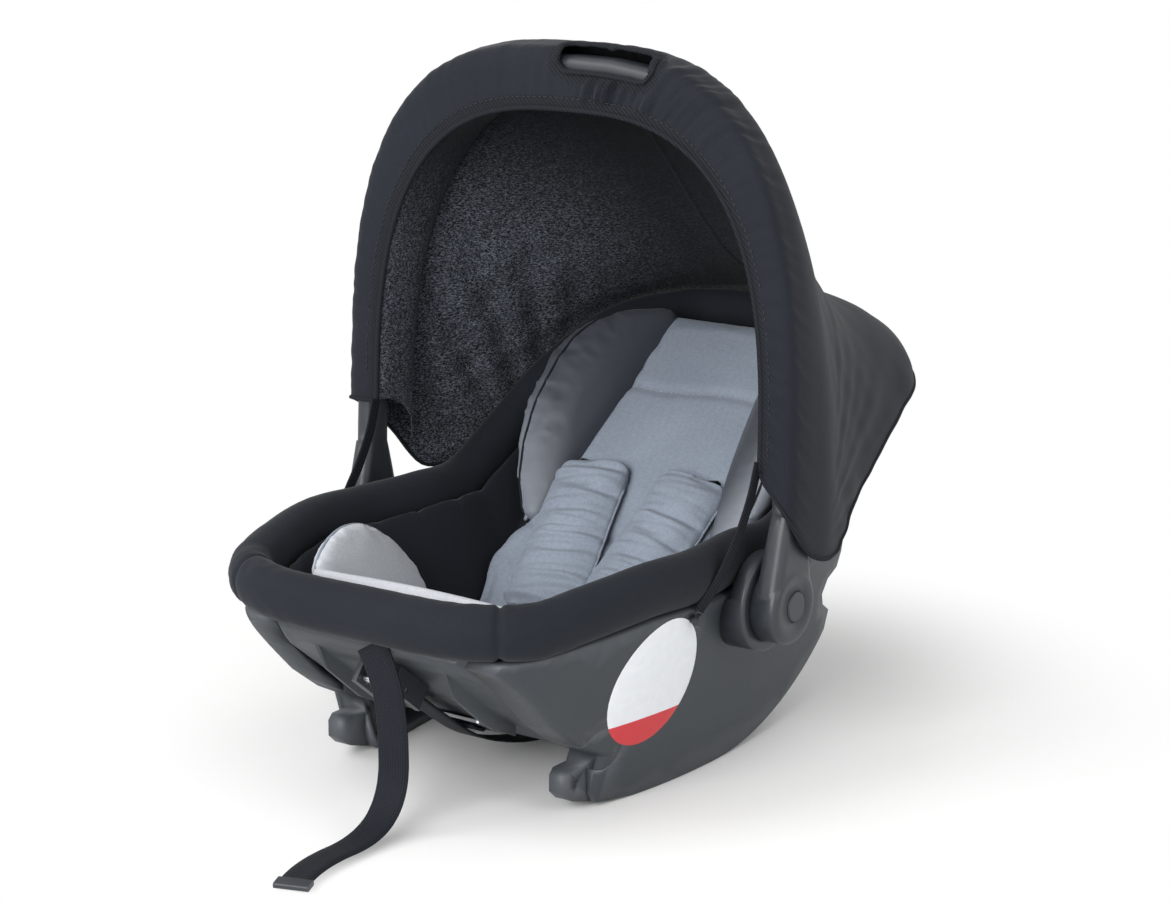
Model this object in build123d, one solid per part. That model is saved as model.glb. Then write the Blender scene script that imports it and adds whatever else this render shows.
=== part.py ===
from build123d import *
import math
import os

os.makedirs("parts", exist_ok=True)

# The seat is drawn with Y = 0 at the handle axle and the floor at Z = 0.
# X is across, Y runs from the feet to the head, Z is up.
# FRAME_SHIFT moves everything so that the middle of the whole box is at Y = 0.
FRAME_SHIFT = -44.25

# Fits
GAP = 0.35
SNUG = 0.05

# Handle axle and overall width
AXLE_Z = 144.0
HUB_FACE_X = 219.0
HUB_INNER_X = 196.1
HUB_R = 31.0
BOSS_R = 40.0
BOSS_FACE_X = 195.6
BOSS_BACK_X = 182.8
BOSS_FOOT_X = 160.0
PIN_R = 6.0
BUTTON_R = 12.0
BUTTON_STROKE = 4.0
GEAR_R = 23.0

# Handle arch
HANDLE_LEAN = math.radians(2.3)
ARM_X = 208.0
ARM_THICK = 19.0
ARM_DEEP = 28.0
ARCH_SPRING = 51.0
ARCH_TOP = 407.0
ARCH_POWER = 3.0

# Shell
WALL = 3.5
CORNER = 42.0
CORNER_FLATS = 5
ROLL_W = 18.0
ROLL_H = 21.0
LINING = 3.0
ROLL_GAP = 1.0
# stations along Y: rim half width, rim height, belly half width, belly height
SHELL = [
    (-264, 100, 168, 84, 141),
    (-236, 136, 170, 100, 117),
    (-195, 152, 175, 106, 84),
    (-130, 165, 180, 106, 41),
    (-70, 167, 177, 104, 18),
    (0, 160, 176, 104, 13),
    (65, 162, 176, 108, 34),
    (130, 162, 206, 112, 70),
    (195, 150, 250, 112, 114),
    (255, 124, 284, 100, 160),
    (300, 92, 294, 76, 205),
    (326, 62, 296, 50, 250),
]

# Side skirts: station, top half width at the top height, half width at the floor
SKIRT_THICK = 34.0
SKIRT_INSET = 7.0
SKIRT_ROUND = 10.0
SKIRT = [
    (-270, 150, 112, 90),
    (-236, 152, 141, 98),
    (-195, 156, 160, 108),
    (-130, 161, 176, 126),
    (-70, 160, 179, 138),
    (0, 156, 178, 143),
    (65, 160, 177, 142),
    (130, 188, 174, 137),
    (195, 232, 163, 131),
    (232, 256, 146, 122),
]

# Padding planes: the back leans up from the bight, the seat rises to the front
BIGHT_Y = -25.0
BIGHT_Z = 58.0
BACK_ANGLE = math.radians(41.0)
SEAT_ANGLE = math.radians(29.5)
PAD_T = 20.0

# Harness
STRAP_W = 36.0
STRAP_T = 1.8
TAIL_W = 25.0
TAIL_T = 2.0
SLOT_S = 200.0
SLOT_X = 52.0
STRAP_SLANT = 0.13
CROTCH_S = 90.0

# Canopy
CLOTH = 2.5

BACK = Plane(
    origin=(0, BIGHT_Y, BIGHT_Z),
    x_dir=(1, 0, 0),
    z_dir=(0, -math.sin(BACK_ANGLE), math.cos(BACK_ANGLE)),
)
# on the seat plane, local Y points to the back, so the front is at negative Y
SEAT = Plane(
    origin=(0, BIGHT_Y, BIGHT_Z),
    x_dir=(1, 0, 0),
    z_dir=(0, math.sin(SEAT_ANGLE), math.cos(SEAT_ANGLE)),
)
SIDE = Plane(origin=(0, 0, 0), x_dir=(0, 1, 0), z_dir=(1, 0, 0))


def put(name, shape):
    moved = Pos(0, FRAME_SHIFT, 0) * shape
    export_step(moved, "parts/" + name + ".step")


def both(name, shape):
    put(name + "_left", shape)
    put(name + "_right", mirror(shape, about=Plane.YZ))


def at(rows, y, col):
    for a, b in zip(rows, rows[1:]):
        if y <= b[0]:
            t = (y - a[0]) / (b[0] - a[0])
            return a[col] + t * (b[col] - a[col])
    return rows[-1][col]


def across(y):
    return Plane(origin=(0, y, 0), x_dir=(1, 0, 0), z_dir=(0, -1, 0))


def drum(radius, x0, x1, y=0.0, z=AXLE_Z):
    mid = Plane(origin=((x0 + x1) / 2, y, z), x_dir=(0, 1, 0), z_dir=(1, 0, 0))
    return mid * Cylinder(radius, x1 - x0)


def trough(y, top_w, top_z, low_w, low_z, corner):
    # a flat bottom, flared sides and round lower corners drawn in short flats
    radius = corner
    turn = math.atan2(top_z - low_z, top_w - low_w)
    back = radius * math.tan(turn / 2)
    side = [(top_w, top_z)]
    for k in range(CORNER_FLATS + 1):
        a = turn * (1 - k / CORNER_FLATS)
        side.append((low_w - back + radius * math.sin(a), low_z + radius * (1 - math.cos(a))))
    ring = side + [(-x, z) for x, z in reversed(side)]
    return across(y) * make_face(Polyline(*ring, close=True))


def roll_under(y):
    # the roll is deeper, measured straight down, where the rim climbs
    before = (at(SHELL, y, 2) - at(SHELL, y - 8, 2)) / 8 if y > SHELL[0][0] + 8 else 0.0
    after = (at(SHELL, y + 8, 2) - at(SHELL, y, 2)) / 8
    climb = max(abs(before), abs(after))
    return at(SHELL, y, 2) - ROLL_H * math.sqrt(1 + climb * climb) - ROLL_GAP


# The round of the lower corners, smaller where the shell is shallow
ROUNDS = [(y, min(CORNER, 0.42 * (roll_under(y) - belly))) for y, w, rim, b, belly in SHELL]


def round_at(y, inset):
    return max(1.0, at(ROUNDS, y, 1) - inset)


# Shell skins: every skin comes from the same stations, set in by a distance
def skin(inset, rise=None):
    parts = []
    last = len(SHELL) - 1
    for i, (y, w, rim, b, belly) in enumerate(SHELL):
        flare = (w - b) / (rim - belly)
        lift = roll_under(y) - 0.3 - rim if rise is None else rise
        shift = 1.4 * inset if i == 0 else (-inset if i == last else 0.0)
        parts.append(
            trough(
                y + shift,
                w - inset + flare * lift,
                rim + lift,
                b - 0.8 * inset,
                belly + 1.35 * inset,
                round_at(y, inset),
            )
        )
    return loft(parts, ruled=True)


def floor_z(y):
    back = BIGHT_Z + (y - BIGHT_Y) * math.tan(BACK_ANGLE) - (PAD_T + 0.6) / math.cos(BACK_ANGLE)
    seat = BIGHT_Z - (y - BIGHT_Y) * math.tan(SEAT_ANGLE) - (PAD_T + 0.6) / math.cos(SEAT_ANGLE)
    return max(back, seat)


# The hollow that holds the pads, kept clear of the rolled rim, as flat-bottomed sections
HOLLOW_Y = (-244.5, -225, -195, -130, -70, -22.5, 30, 65, 130, 195, 262, 284)


def inside_half(y):
    slope = (at(SHELL, y + 1.5, 1) - at(SHELL, y - 1.5, 1)) / 3.0
    return at(SHELL, y, 1) - (ROLL_W + 2.8) * math.sqrt(1 + slope * slope)


def hollow_floor(y):
    return floor_z(min(y, 262.0)) + max(0.0, (y - 262.0) * 0.25)


def wall_flare(y):
    return (at(SHELL, y, 1) - at(SHELL, y, 3)) / (at(SHELL, y, 2) - at(SHELL, y, 4))


def hollow(inset, rise):
    parts = []
    for i, y in enumerate(HOLLOW_Y):
        rim = at(SHELL, y, 2)
        low = hollow_floor(y)
        half = inside_half(y) - inset
        shift = inset if i == 0 else (-inset if i == len(HOLLOW_Y) - 1 else 0.0)
        parts.append(
            trough(
                y + shift,
                half + wall_flare(y) * rise,
                rim + rise,
                half - wall_flare(y) * (rim - low),
                low + 1.25 * (inset - LINING),
                min(8.0, 0.42 * (rim + rise - low)),
            )
        )
    return loft(parts, ruled=True)


shell_out = skin(0.0)
shell_clear = skin(-GAP, GAP)
shell_in = skin(WALL, 30.0)

# Tunnels for the straps, cut through everything between pads and shell
slant_angle = math.degrees(math.atan(STRAP_SLANT))


def shoulder_tunnel(extra):
    bit = Box(STRAP_W + extra, 4.0 + extra, 150)
    return BACK * (Pos(SLOT_X, SLOT_S, -60) * Rot(0, 0, -slant_angle) * bit)


crotch_tunnel = SEAT * (Pos(0, -CROTCH_S, -50) * Box(STRAP_W + 6, 9, 110))
lap_tunnel = SEAT * (Pos(120, -24, 6.0) * Box(60, STRAP_W + 4, 7))
tunnels = [
    shoulder_tunnel(6),
    mirror(shoulder_tunnel(6), about=Plane.YZ),
    crotch_tunnel,
    lap_tunnel,
    mirror(lap_tunnel, about=Plane.YZ),
]


def pierced(shape):
    for t in tunnels:
        shape = shape - t
    return shape


# Seat tub with stiffening ribs under the front
rib_face = make_face(Polyline((-252, 136), (-160, 66), (-160, 52), (-196, 70), (-236, 104), close=True))
tub = shell_out - shell_in
for rib_x in (-62, 62):
    ribs_one = extrude(SIDE.offset(rib_x - 2) * rib_face, 4) - shell_out
    tub = tub + ribs_one
tub = pierced(tub)

# Handle parts on the left hand (+X); the right hand is the mirror
boss = drum(BOSS_R, BOSS_BACK_X, BOSS_FACE_X)
boss = fillet(boss.edges().filter_by(GeomType.CIRCLE).sort_by(Axis.X)[-1:], 3.0)
boss_foot = drum(BOSS_R, BOSS_FOOT_X, BOSS_BACK_X + 0.5)
boss_foot = boss_foot & Pos(170, 0, roll_under(0) - 1.5 - 50) * Box(60, 100, 100)
PIN_HEAD_X = 168.5
pin = drum(PIN_R, PIN_HEAD_X, 204.6) + drum(9.0, PIN_HEAD_X - 2.5, PIN_HEAD_X)

lean_up = (0, math.sin(HANDLE_LEAN), math.cos(HANDLE_LEAN))
ARCH = Plane(
    origin=(0, 0, AXLE_Z),
    x_dir=(1, 0, 0),
    z_dir=(0, -math.cos(HANDLE_LEAN), math.sin(HANDLE_LEAN)),
)


def arch_x(h, half, spring, top, power):
    if h <= spring:
        return half
    return half * (1 - ((h - spring) / (top - spring)) ** power) ** (1 / power)


arch_pts = []
for share in (0.0, 0.3, 0.55, 0.72, 0.85, 0.95):
    h = ARCH_SPRING + share * (ARCH_TOP - ARCH_SPRING)
    arch_pts.append((arch_x(h, ARM_X, ARCH_SPRING, ARCH_TOP, ARCH_POWER), h))
left_side = [(ARM_X, 12.0)] + arch_pts
right_side = [(-x, h) for x, h in reversed(left_side)]
arch_path = ARCH * Spline(
    *left_side, (0, ARCH_TOP), *right_side, tangents=[(0, 1), (0, -1)]
)
bar_ring = []
for k in range(20):
    a = 2 * math.pi * (k + 0.5) / 20
    bar_x = ARM_THICK / 2 * math.copysign(abs(math.cos(a)) ** 0.72, math.cos(a))
    bar_ring.append((bar_x, ARM_DEEP / 2 * math.copysign(abs(math.sin(a)) ** 0.72, math.sin(a))))
bar_face = make_face(Polyline(*bar_ring, close=True))
bar_cuts = []
BAR_CUTS = 28
for k in range(BAR_CUTS + 1):
    along = arch_path % (k / BAR_CUTS)
    outward = along.cross(ARCH.z_dir)
    bar_cuts.append(Plane(origin=arch_path @ (k / BAR_CUTS), x_dir=outward, z_dir=along) * bar_face)
bar = loft(bar_cuts, ruled=True)


def neck_cut(h, thick, deep):
    foot = ARCH.from_local_coords((HUB_FACE_X - thick / 2 - 0.6, h, 0))
    spot = Plane(origin=foot, x_dir=(1, 0, 0), z_dir=lean_up)
    return spot * fillet(Rectangle(thick, deep).vertices(), 8.0)


neck = loft([neck_cut(6, 22, 60), neck_cut(38, 21, 46), neck_cut(74, ARM_THICK, ARM_DEEP + 1)])
hub = drum(HUB_R, HUB_INNER_X, HUB_FACE_X)
hub = fillet(hub.edges().filter_by(GeomType.CIRCLE).sort_by(Axis.X)[-1:], 6.0)
hub_bores = drum(GEAR_R + 1.0, HUB_INNER_X - 1, HUB_INNER_X + 5.0)
hub_bores = hub_bores + drum(BUTTON_R + SNUG + 0.05, HUB_INNER_X + 8.5, HUB_FACE_X + 1)
hub_bores = hub_bores + drum(PIN_R + SNUG, 190, 212)
prong_spots = [(8.9 * math.cos(a), 8.9 * math.sin(a)) for a in (0.5, 0.5 + 2.0944, 0.5 + 4.1888)]
for py, pz in prong_spots:
    hub_bores = hub_bores + drum(2.1, 196, 214, py, AXLE_Z + pz)
club = (hub + neck) - hub_bores
other_club = mirror(club, about=Plane.YZ)
handle = bar + club + other_club
# the bar must not fill the bores again
handle = handle - hub_bores - mirror(hub_bores, about=Plane.YZ)
keep_off = drum(60, 150, HUB_INNER_X)
handle = handle - keep_off - mirror(keep_off, about=Plane.YZ)

# Toothed lock disc and the button that pushes it
gear_face = Circle(GEAR_R - 3.0)
for k in range(12):
    gear_face = gear_face + Rot(0, 0, 30 * k) * (Pos(GEAR_R - 3.2, 0) * Rectangle(6.0, 5.0))
gear_plane = Plane(origin=(191.0, 0, AXLE_Z), x_dir=(0, 1, 0), z_dir=(1, 0, 0))
gear = extrude(gear_plane * (gear_face - Circle(PIN_R + 0.3)), 8.0)
button = drum(BUTTON_R, 212.2 - 3.0, HUB_FACE_X + 1.0)
button = fillet(button.edges().filter_by(GeomType.CIRCLE).sort_by(Axis.X)[-1:], 1.2)
for py, pz in prong_spots:
    button = button + drum(1.9, 199.15, 211, py, AXLE_Z + pz)

# Side skirts
def quad(y, x_out_top, top_z, x_out_low, thick):
    return across(y) * make_face(
        Polyline(
            (x_out_low - thick, -6),
            (x_out_low, -6),
            (x_out_top, top_z),
            (x_out_top - thick, top_z),
            close=True,
        )
    )


def skirt_slab(inset, thick):
    rows = []
    for y, top_z, x_top, x_low in SKIRT:
        rise = (x_top - x_low) / top_z
        rows.append(quad(y, x_top - inset + rise * 14, top_z + 14, x_low - inset - rise * 6, thick))
    return loft(rows)


# the rim's curve sags a little between its stations where it starts to climb
SAG = {115: 3.4, 100: 4.2, 85: 3.2}
top_at = (214, 195, 130, 115, 100, 85, 65, 0, -70, -130, -195, -236)
top_line = [(y, roll_under(y) - SAG.get(y, 0.0)) for y in top_at]
arc_end = (175, 67)
arc_r = (arc_end[0] ** 2 + arc_end[1] ** 2) / (2 * arc_end[1])
arc_mid_y = 92
arc_mid = (arc_mid_y, arc_r - math.sqrt(arc_r ** 2 - arc_mid_y ** 2))
outline = make_face(
    [
        Polyline((0, 0), (-100, 0), (-139, 4), (-143, 12), (-143, 45), (-168, 58), (-198, 80)),
        Polyline((-198, 80), (-228, 110), (-258, 139), (-258, 147), *reversed(top_line)),
        Polyline((214, roll_under(214)), (206, 184), (189, 156), (189, 134), (182, 122), (161, 117)),
        Polyline((161, 117), (153, 105), (160, 94), (178, 84), arc_end),
        ThreePointArc(arc_end, arc_mid, (0, 0)),
    ]
)
inner_line = offset(outline, -SKIRT_INSET, kind=Kind.INTERSECTION)
slab = skirt_slab(0.0, SKIRT_THICK)
block = slab & extrude(SIDE * outline, 230)


def on_front(edge):
    c = edge.center()
    outer = at(SKIRT, c.Y, 3) + (at(SKIRT, c.Y, 2) - at(SKIRT, c.Y, 3)) * c.Z / at(SKIRT, c.Y, 1)
    return c.Y < -140 and 20 < c.Z < 132 and c.X > outer - 6 and edge.length > 20


front_edges = block.edges().filter_by(on_front)
block = fillet(front_edges, SKIRT_ROUND)
pocket = skirt_slab(WALL, 80.0) & extrude(SIDE * inner_line, 230)


# Belt hook: a rounded plug flush in the skirt, carrying the lip that holds the car belt
HOOK_Y = -150.0
HOOK_Z = 52.0
HOOK_R = 21.0
HOOK_X0 = 102.0
HOOK_W = 16.5
hook_line = make_face(
    Polyline(
        (-141, 36), (-164, 36), (-169, 31), (-169, 18), (-161, 10.5),
        (-134, 2.0), (-112, 0.6), (-112, 60), (-128, 60), (-141, 46), close=True,
    )
)


def hook_prism(extra):
    line = offset(hook_line, extra) if extra else hook_line
    return extrude(SIDE.offset(HOOK_X0 - extra) * line, HOOK_W + 2 * extra)


plug = drum(HOOK_R, 90, 200, HOOK_Y, HOOK_Z)
hook = (block & plug) + hook_prism(0)
hook = hook - drum(2.5, 112, 140, -156, 24)
skirt = block - pocket
skirt = skirt - shell_clear - drum(HOOK_R + GAP, 90, 200, HOOK_Y, HOOK_Z) - hook_prism(GAP)
skirt = skirt - drum(PIN_R + 0.2, 120, 220)
skirt = skirt - drum(9.0 + GAP, 120, PIN_HEAD_X + GAP)
boss = boss + (boss_foot - skirt_slab(-GAP, 60.0))
boss = boss - drum(GEAR_R + 1.0, BOSS_FACE_X - 10.0, BOSS_FACE_X + 1) - drum(PIN_R + 0.02, 130, 200)
skirt = skirt.solids().sort_by(SortBy.VOLUME)[-1]
hook = hook - shell_clear

# Canopy knob under the rim on each side
KNOB_Y = -82.0
KNOB_Z = 147.0
knob_x = at(SKIRT, KNOB_Y, 3) + (at(SKIRT, KNOB_Y, 2) - at(SKIRT, KNOB_Y, 3)) * KNOB_Z / at(SKIRT, KNOB_Y, 1)
knob = drum(3.0, knob_x - 8, knob_x + 8, KNOB_Y, KNOB_Z)
knob = knob + drum(5.5, knob_x + 5.5, knob_x + 9.5, KNOB_Y, KNOB_Z)
skirt = skirt - drum(3.0 + GAP, knob_x - 12, knob_x + 12, KNOB_Y, KNOB_Z)

# Rolled rim of the cover, swept half way round and mirrored
side_pts = [(62, -267, 168), (104, -259, 169)]
side_pts += [(w, y, rim) for y, w, rim, b, belly in SHELL[1:11]] + [(58, 325, 296)]
loop_pts = [(0, -267, 168)] + side_pts + [(0, 331, 296)] + [(-x, y, z) for x, y, z in reversed(side_pts)]
rim_loop = Spline(*loop_pts, periodic=True)
ROLL_FLATS = 16


def roll(cuts):
    rings = []
    for k in range(cuts + 1):
        share = 0.5 * k / cuts
        along = Vector(1, 0, 0) if k == 0 else (Vector(-1, 0, 0) if k == cuts else rim_loop % share)
        middle = rim_loop @ share
        if k in (0, cuts):
            middle = Vector(0, middle.Y, middle.Z)
        here = Plane(origin=middle, x_dir=(along.Y, -along.X, 0), z_dir=along)
        turns = [2 * math.pi * n / ROLL_FLATS for n in range(ROLL_FLATS)]
        ring = [(ROLL_W * math.cos(a), ROLL_H * math.sin(a)) for a in turns]
        rings.append(here * make_face(Polyline(*ring, close=True)))
    half = loft(rings, ruled=True)
    return half + mirror(half, about=Plane.YZ)


rim_roll = roll(26)
lining = pierced(hollow(0.0, -4.0) - hollow(LINING, 60.0))


# Foam liner between shell and cover
def foam_body():
    parts = []
    inset = WALL + 1.8
    ends = {-243: -248.0, 316: 321.0}
    for y in (-243, -236, -195, -130, -70, 0, 65, 130, 195, 255, 300, 316):
        like = ends.get(y, y)
        drop = roll_under(like) - 1.5 - at(SHELL, like, 2)
        parts.append(
            trough(
                y,
                at(SHELL, like, 1) - inset + wall_flare(like) * drop,
                at(SHELL, like, 2) + drop,
                at(SHELL, like, 3) - 0.8 * inset,
                at(SHELL, like, 4) + 1.35 * inset,
                round_at(like, inset),
            )
        )
    return loft(parts, ruled=True)


foam = pierced(foam_body() - hollow(-0.6, 60.0))
foam = foam.solids().sort_by(SortBy.VOLUME)[-1]


# Insert pads
def room(y):
    return inside_half(y) - wall_flare(y) * (at(SHELL, y, 2) - hollow_floor(y)) - LINING - 6.0


def back_y(s):
    return BIGHT_Y + s * math.cos(BACK_ANGLE)


def seat_y(s):
    return BIGHT_Y - s * math.cos(SEAT_ANGLE)


def pad(outline_pts, crown):
    ring = outline_pts + [(-x, v) for x, v in reversed(outline_pts)]
    body = extrude(make_face(Polyline(*ring, close=True)), -PAD_T)
    top = body.faces().sort_by(Axis.Z)[-1]
    return fillet(top.edges(), crown)


back_rows = [(104, 5), (112, 40), (98, 86), (100, 132), (74, 380)]
back_pad = BACK * pad([(min(x, room(back_y(s))), s) for x, s in back_rows], 7.0)
back_pad = pierced(back_pad)
seat_rows = [(104, 5), (112, 60), (112, 120), (108, 190), (100, 218)]
seat_pad = SEAT * pad([(min(x, room(seat_y(s))), -s) for x, s in seat_rows], 7.0)
seat_pad = pierced(seat_pad)
band = SEAT * (Pos(0, -203, 6.3) * fillet(Box(204, 24, 11.6).edges().filter_by(Axis.X), 5.0))


def wing_cut(s, seam, base, tip, rise):
    spot = BACK.from_local_coords((0, s, 0))
    flat = Plane(origin=spot, x_dir=(-1, 0, 0), z_dir=BACK.y_dir)
    return flat * make_face(
        Polyline((-seam, -19), (-base, -19), (-tip, rise), (-tip + 9, rise + 3), (-seam - 1, 2), close=True)
    )


head_wing = loft(
    [
        wing_cut(138, 103, 106, 115, 4),
        wing_cut(206, 95, 114, 131, 31),
        wing_cut(292, 86, 108, 127, 46),
        wing_cut(340, 81, 93, 111, 33),
        wing_cut(376, 77, 80, 87, 6),
    ]
)
LEG_LEAN = math.radians(20)
LEG = Plane(
    origin=(97, 0, 3.5), x_dir=(0, -1, 0), z_dir=(-math.cos(LEG_LEAN), 0, math.sin(LEG_LEAN))
)
leg_line = make_face(
    [
        Polyline((186, 4), (180, 0), (52, 0), (48, 10)),
        Spline((48, 10), (62, 44), (98, 62), (132, 63), (166, 42), (186, 4)),
    ]
)
leg_wing = SEAT * (LEG * extrude(leg_line, 6.5, both=True))

# Harness
slant = Plane(origin=(SLOT_X, SLOT_S, 0), x_dir=(-STRAP_SLANT, -1, 0), z_dir=(-1, STRAP_SLANT, 0))


def webbing(points, radius, width, thick=STRAP_T):
    return extrude(trace(FilletPolyline(*points, radius=radius), thick), width / 2, both=True)


PAD_MID = 10.5
shoulder_strap = BACK * (slant * webbing([(52, -104), (0, -107), (0, PAD_MID), (186, PAD_MID)], 4, STRAP_W))
sleeve = fillet(Box(54, 132, 17).edges().filter_by(Axis.Y), 7.0)
sleeve = sleeve - Box(STRAP_W + 3, 140, 4.0)
sleeve_x = SLOT_X - STRAP_SLANT * 88
shoulder_pad = BACK * (Pos(sleeve_x, SLOT_S - 88, PAD_MID) * Rot(0, 0, -slant_angle) * sleeve)
yoke = BACK * (Pos(0, SLOT_S - 42, -108.0) * fillet(Box(142, 22, 3).edges().filter_by(Axis.Z), 6))

BUCKLE_S = 47.0
housing = fillet(Box(58, 54, 22).edges(), 5.0)
housing = housing - Pos(0, 18, 0) * Box(52, 26, 4.0)
housing = housing - Pos(0, -22, -2.5) * Box(STRAP_W + 2, 12, 2.6)
housing = housing - Pos(0, 8, 8.0) * Box(26.4, 20.4, 8.6)
buckle = SEAT * (Pos(0, -BUCKLE_S, 14.5) * housing)
red = fillet(Box(26, 20, 4.3).edges().group_by(Axis.Z)[-1], 1.2)
red_button = SEAT * (Pos(0, -BUCKLE_S + 8, 24.2) * red)
tongue = Pos(13.5, -20, 14.5) * Box(23, 34, 2.6)
head = Pos(17.5, -9.5, 14.5) * fillet(Box(31, 17, 6).edges(), 2.0)
tongue = SEAT * (tongue + head)
crotch_flat = Plane(origin=(0, 0, 0), x_dir=(0, -1, 0), z_dir=(-1, 0, 0))
crotch_strap = SEAT * (
    crotch_flat * webbing([(66, 12), (CROTCH_S, 12), (CROTCH_S, -71.5), (107, -71.5)], 2.5, STRAP_W)
)
frame = Pos(0, -95, -67.4) * (
    fillet(Box(54, 36, 2.4).edges().filter_by(Axis.Z), 5) - Pos(0, 5, 0) * Box(STRAP_W + 4, 8, 4)
)
crotch_anchor = SEAT * frame - shell_clear
lap_flat = Plane(origin=(0, -24, 0), x_dir=(1, 0, 0), z_dir=(0, -1, 0))
lap_strap = SEAT * (lap_flat * webbing([(33.4, 14.5), (84, 6), (135, 6)], 12, STRAP_W))
lap_anchor = SEAT * (Pos(131, -24, 6) * Box(8, STRAP_W + 12, 20)) - shell_clear
lap_anchor = lap_anchor - SEAT * (Pos(131, -24, 6) * Box(40, STRAP_W + 1, 2.6))

# Harness adjuster under the front rim
FRONT = Plane(origin=(0, -228.4, 110.0), x_dir=(1, 0, 0), z_dir=(0, -0.627, -0.779))
cheeks = fillet(Box(42, 44, 23).edges().filter_by(Axis.Z), 4)
adjuster = FRONT * (Pos(0, 0, 7.5) * cheeks - Pos(0, 0, 17) * Box(29, 60, 26)) - shell_clear
LEVER_Y = 6.0
LEVER_Z = 13.0
lever_pin = FRONT * (Pos(0, LEVER_Y, LEVER_Z) * Rot(0, 90, 0) * Cylinder(2.0, 40))
adjuster = adjuster - FRONT * (Pos(0, LEVER_Y, LEVER_Z) * Rot(0, 90, 0) * Cylinder(2.02, 60))
lever_bar = fillet(Box(28, 32, 5).edges().filter_by(Axis.X), 2.2)
lever = FRONT * (Pos(0, 0, LEVER_Z) * lever_bar)
lever = lever - FRONT * (Pos(0, LEVER_Y, LEVER_Z) * Rot(0, 90, 0) * Cylinder(2.0 + SNUG, 60))

run_pts = [
    (-250, 120), (-226, 101.5), (-200, 80), (-144, 39), (-100, 20), (-60, 10), (-25, 7.5),
    (10, 9), (65, 27.5), (130, 60.5), (156, 73.4),
]
run_line = trace(Spline(*run_pts), STRAP_T)
strap_run = extrude(SIDE * run_line, TAIL_W / 2, both=True) - shell_clear

# Free tail of the adjuster strap: straight runs joined by arcs
tail_pts = [(0, -268.8, 145.6), (1, -270.5, 92), (10, -307, 14), (36, -389, 3.9)]
tail_path = FilletPolyline(*tail_pts, radius=[110, 72])
tail_wide = (0.964, 0.267, 0)
tail_start = Plane(origin=tail_path @ 0, x_dir=tail_wide, z_dir=tail_path % 0)
tail = sweep(tail_start * Rectangle(TAIL_W, TAIL_T), path=tail_path)
stop_at = tail_path @ 1 + (tail_path % 1) * 6.3
stop_plane = Plane(origin=stop_at, x_dir=tail_wide, z_dir=tail_path % 1)
tail_stop = stop_plane * fillet(Box(TAIL_W + 2, 4.4, 12).edges().filter_by(Axis.X), 1.5)


# Canopy: a thin closed hood from the front binding over the handle to the head end
def hood_cut(row, drop):
    y, lean, half, low, top, power = row
    axis = (0, -math.cos(lean), math.sin(lean))
    spot = Plane(origin=(0, y, AXLE_Z), x_dir=(1, 0, 0), z_dir=axis)
    low_h = low - AXLE_Z
    top_h = top - AXLE_Z
    arc = []
    for k in range(1, 14):
        c = math.cos(math.pi * k / 14)
        x = half * math.copysign(abs(c) ** (2 / power), c)
        arc.append((x, low_h + (top_h - low_h) * math.sin(math.pi * k / 14) ** (2 / power)))
    arch = Polyline((half, low_h), *arc, (-half, low_h))
    foot = Polyline((-half, low_h), (-half, low_h - drop), (half, low_h - drop), (half, low_h))
    return spot * make_face([arch, foot])


HOOD = [
    (15, HANDLE_LEAN, 222.5, 192, 568.5, 3.0),
    (44, HANDLE_LEAN * 0.6, 222, 168, 553, 2.9),
    (110, 0, 206, 170, 500, 2.6),
    (190, 0, 184, 184, 430, 2.4),
    (265, 0, 166, 206, 378, 2.3),
    (320, 0, 148, 220, 345, 2.3),
    (352, 0, 122, 228, 322, 2.3),
    (374, 0, 80, 240, 298, 2.3),
]
FACE_Y = -18.0
FACE = [
    (FACE_Y, HANDLE_LEAN, 192, 234, 520, 2.8),
    (FACE_Y + 0.6, HANDLE_LEAN, 213.5, 228, 557, 3.0),
    (FACE_Y + 4, HANDLE_LEAN, 221.5, 218, 567, 3.0),
]
hood_out = loft([hood_cut(r, 1.0) for r in FACE + HOOD], ruled=True)


def lined(row, back):
    y, lean, half, low, top, power = row
    return (y + back, lean, half - CLOTH, low, top - CLOTH, power)


inside = [lined(FACE[1], CLOTH - 0.6), lined(FACE[2], CLOTH - 0.6)]
inside += [lined(r, 0.0) for r in HOOD[:-1]] + [lined(HOOD[-1], -CLOTH)]
hood_in = loft([hood_cut(r, 60.0) for r in inside], ruled=True)
mouth_row = (FACE_Y - 6, HANDLE_LEAN, 190, 234, 517.5, 2.8)
mouth = loft([hood_cut(mouth_row, 60.0), hood_cut((0,) + mouth_row[1:], 60.0)])
grip_slot = Pos(0, 15, 560) * Box(112, 24, 60)
canopy = hood_out - hood_in - mouth - grip_slot

elastic_path = FilletPolyline(
    (190.5, -16.5, 226), (188.8, -62, 180), (knob_x + 5.6, KNOB_Y + 2, KNOB_Z + 7), radius=30
)
elastic_plane = Plane(origin=elastic_path @ 0, x_dir=(0, 1, -0.9), z_dir=elastic_path % 0)
elastic = sweep(elastic_plane * Rectangle(8, 1.4), path=elastic_path)

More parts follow.
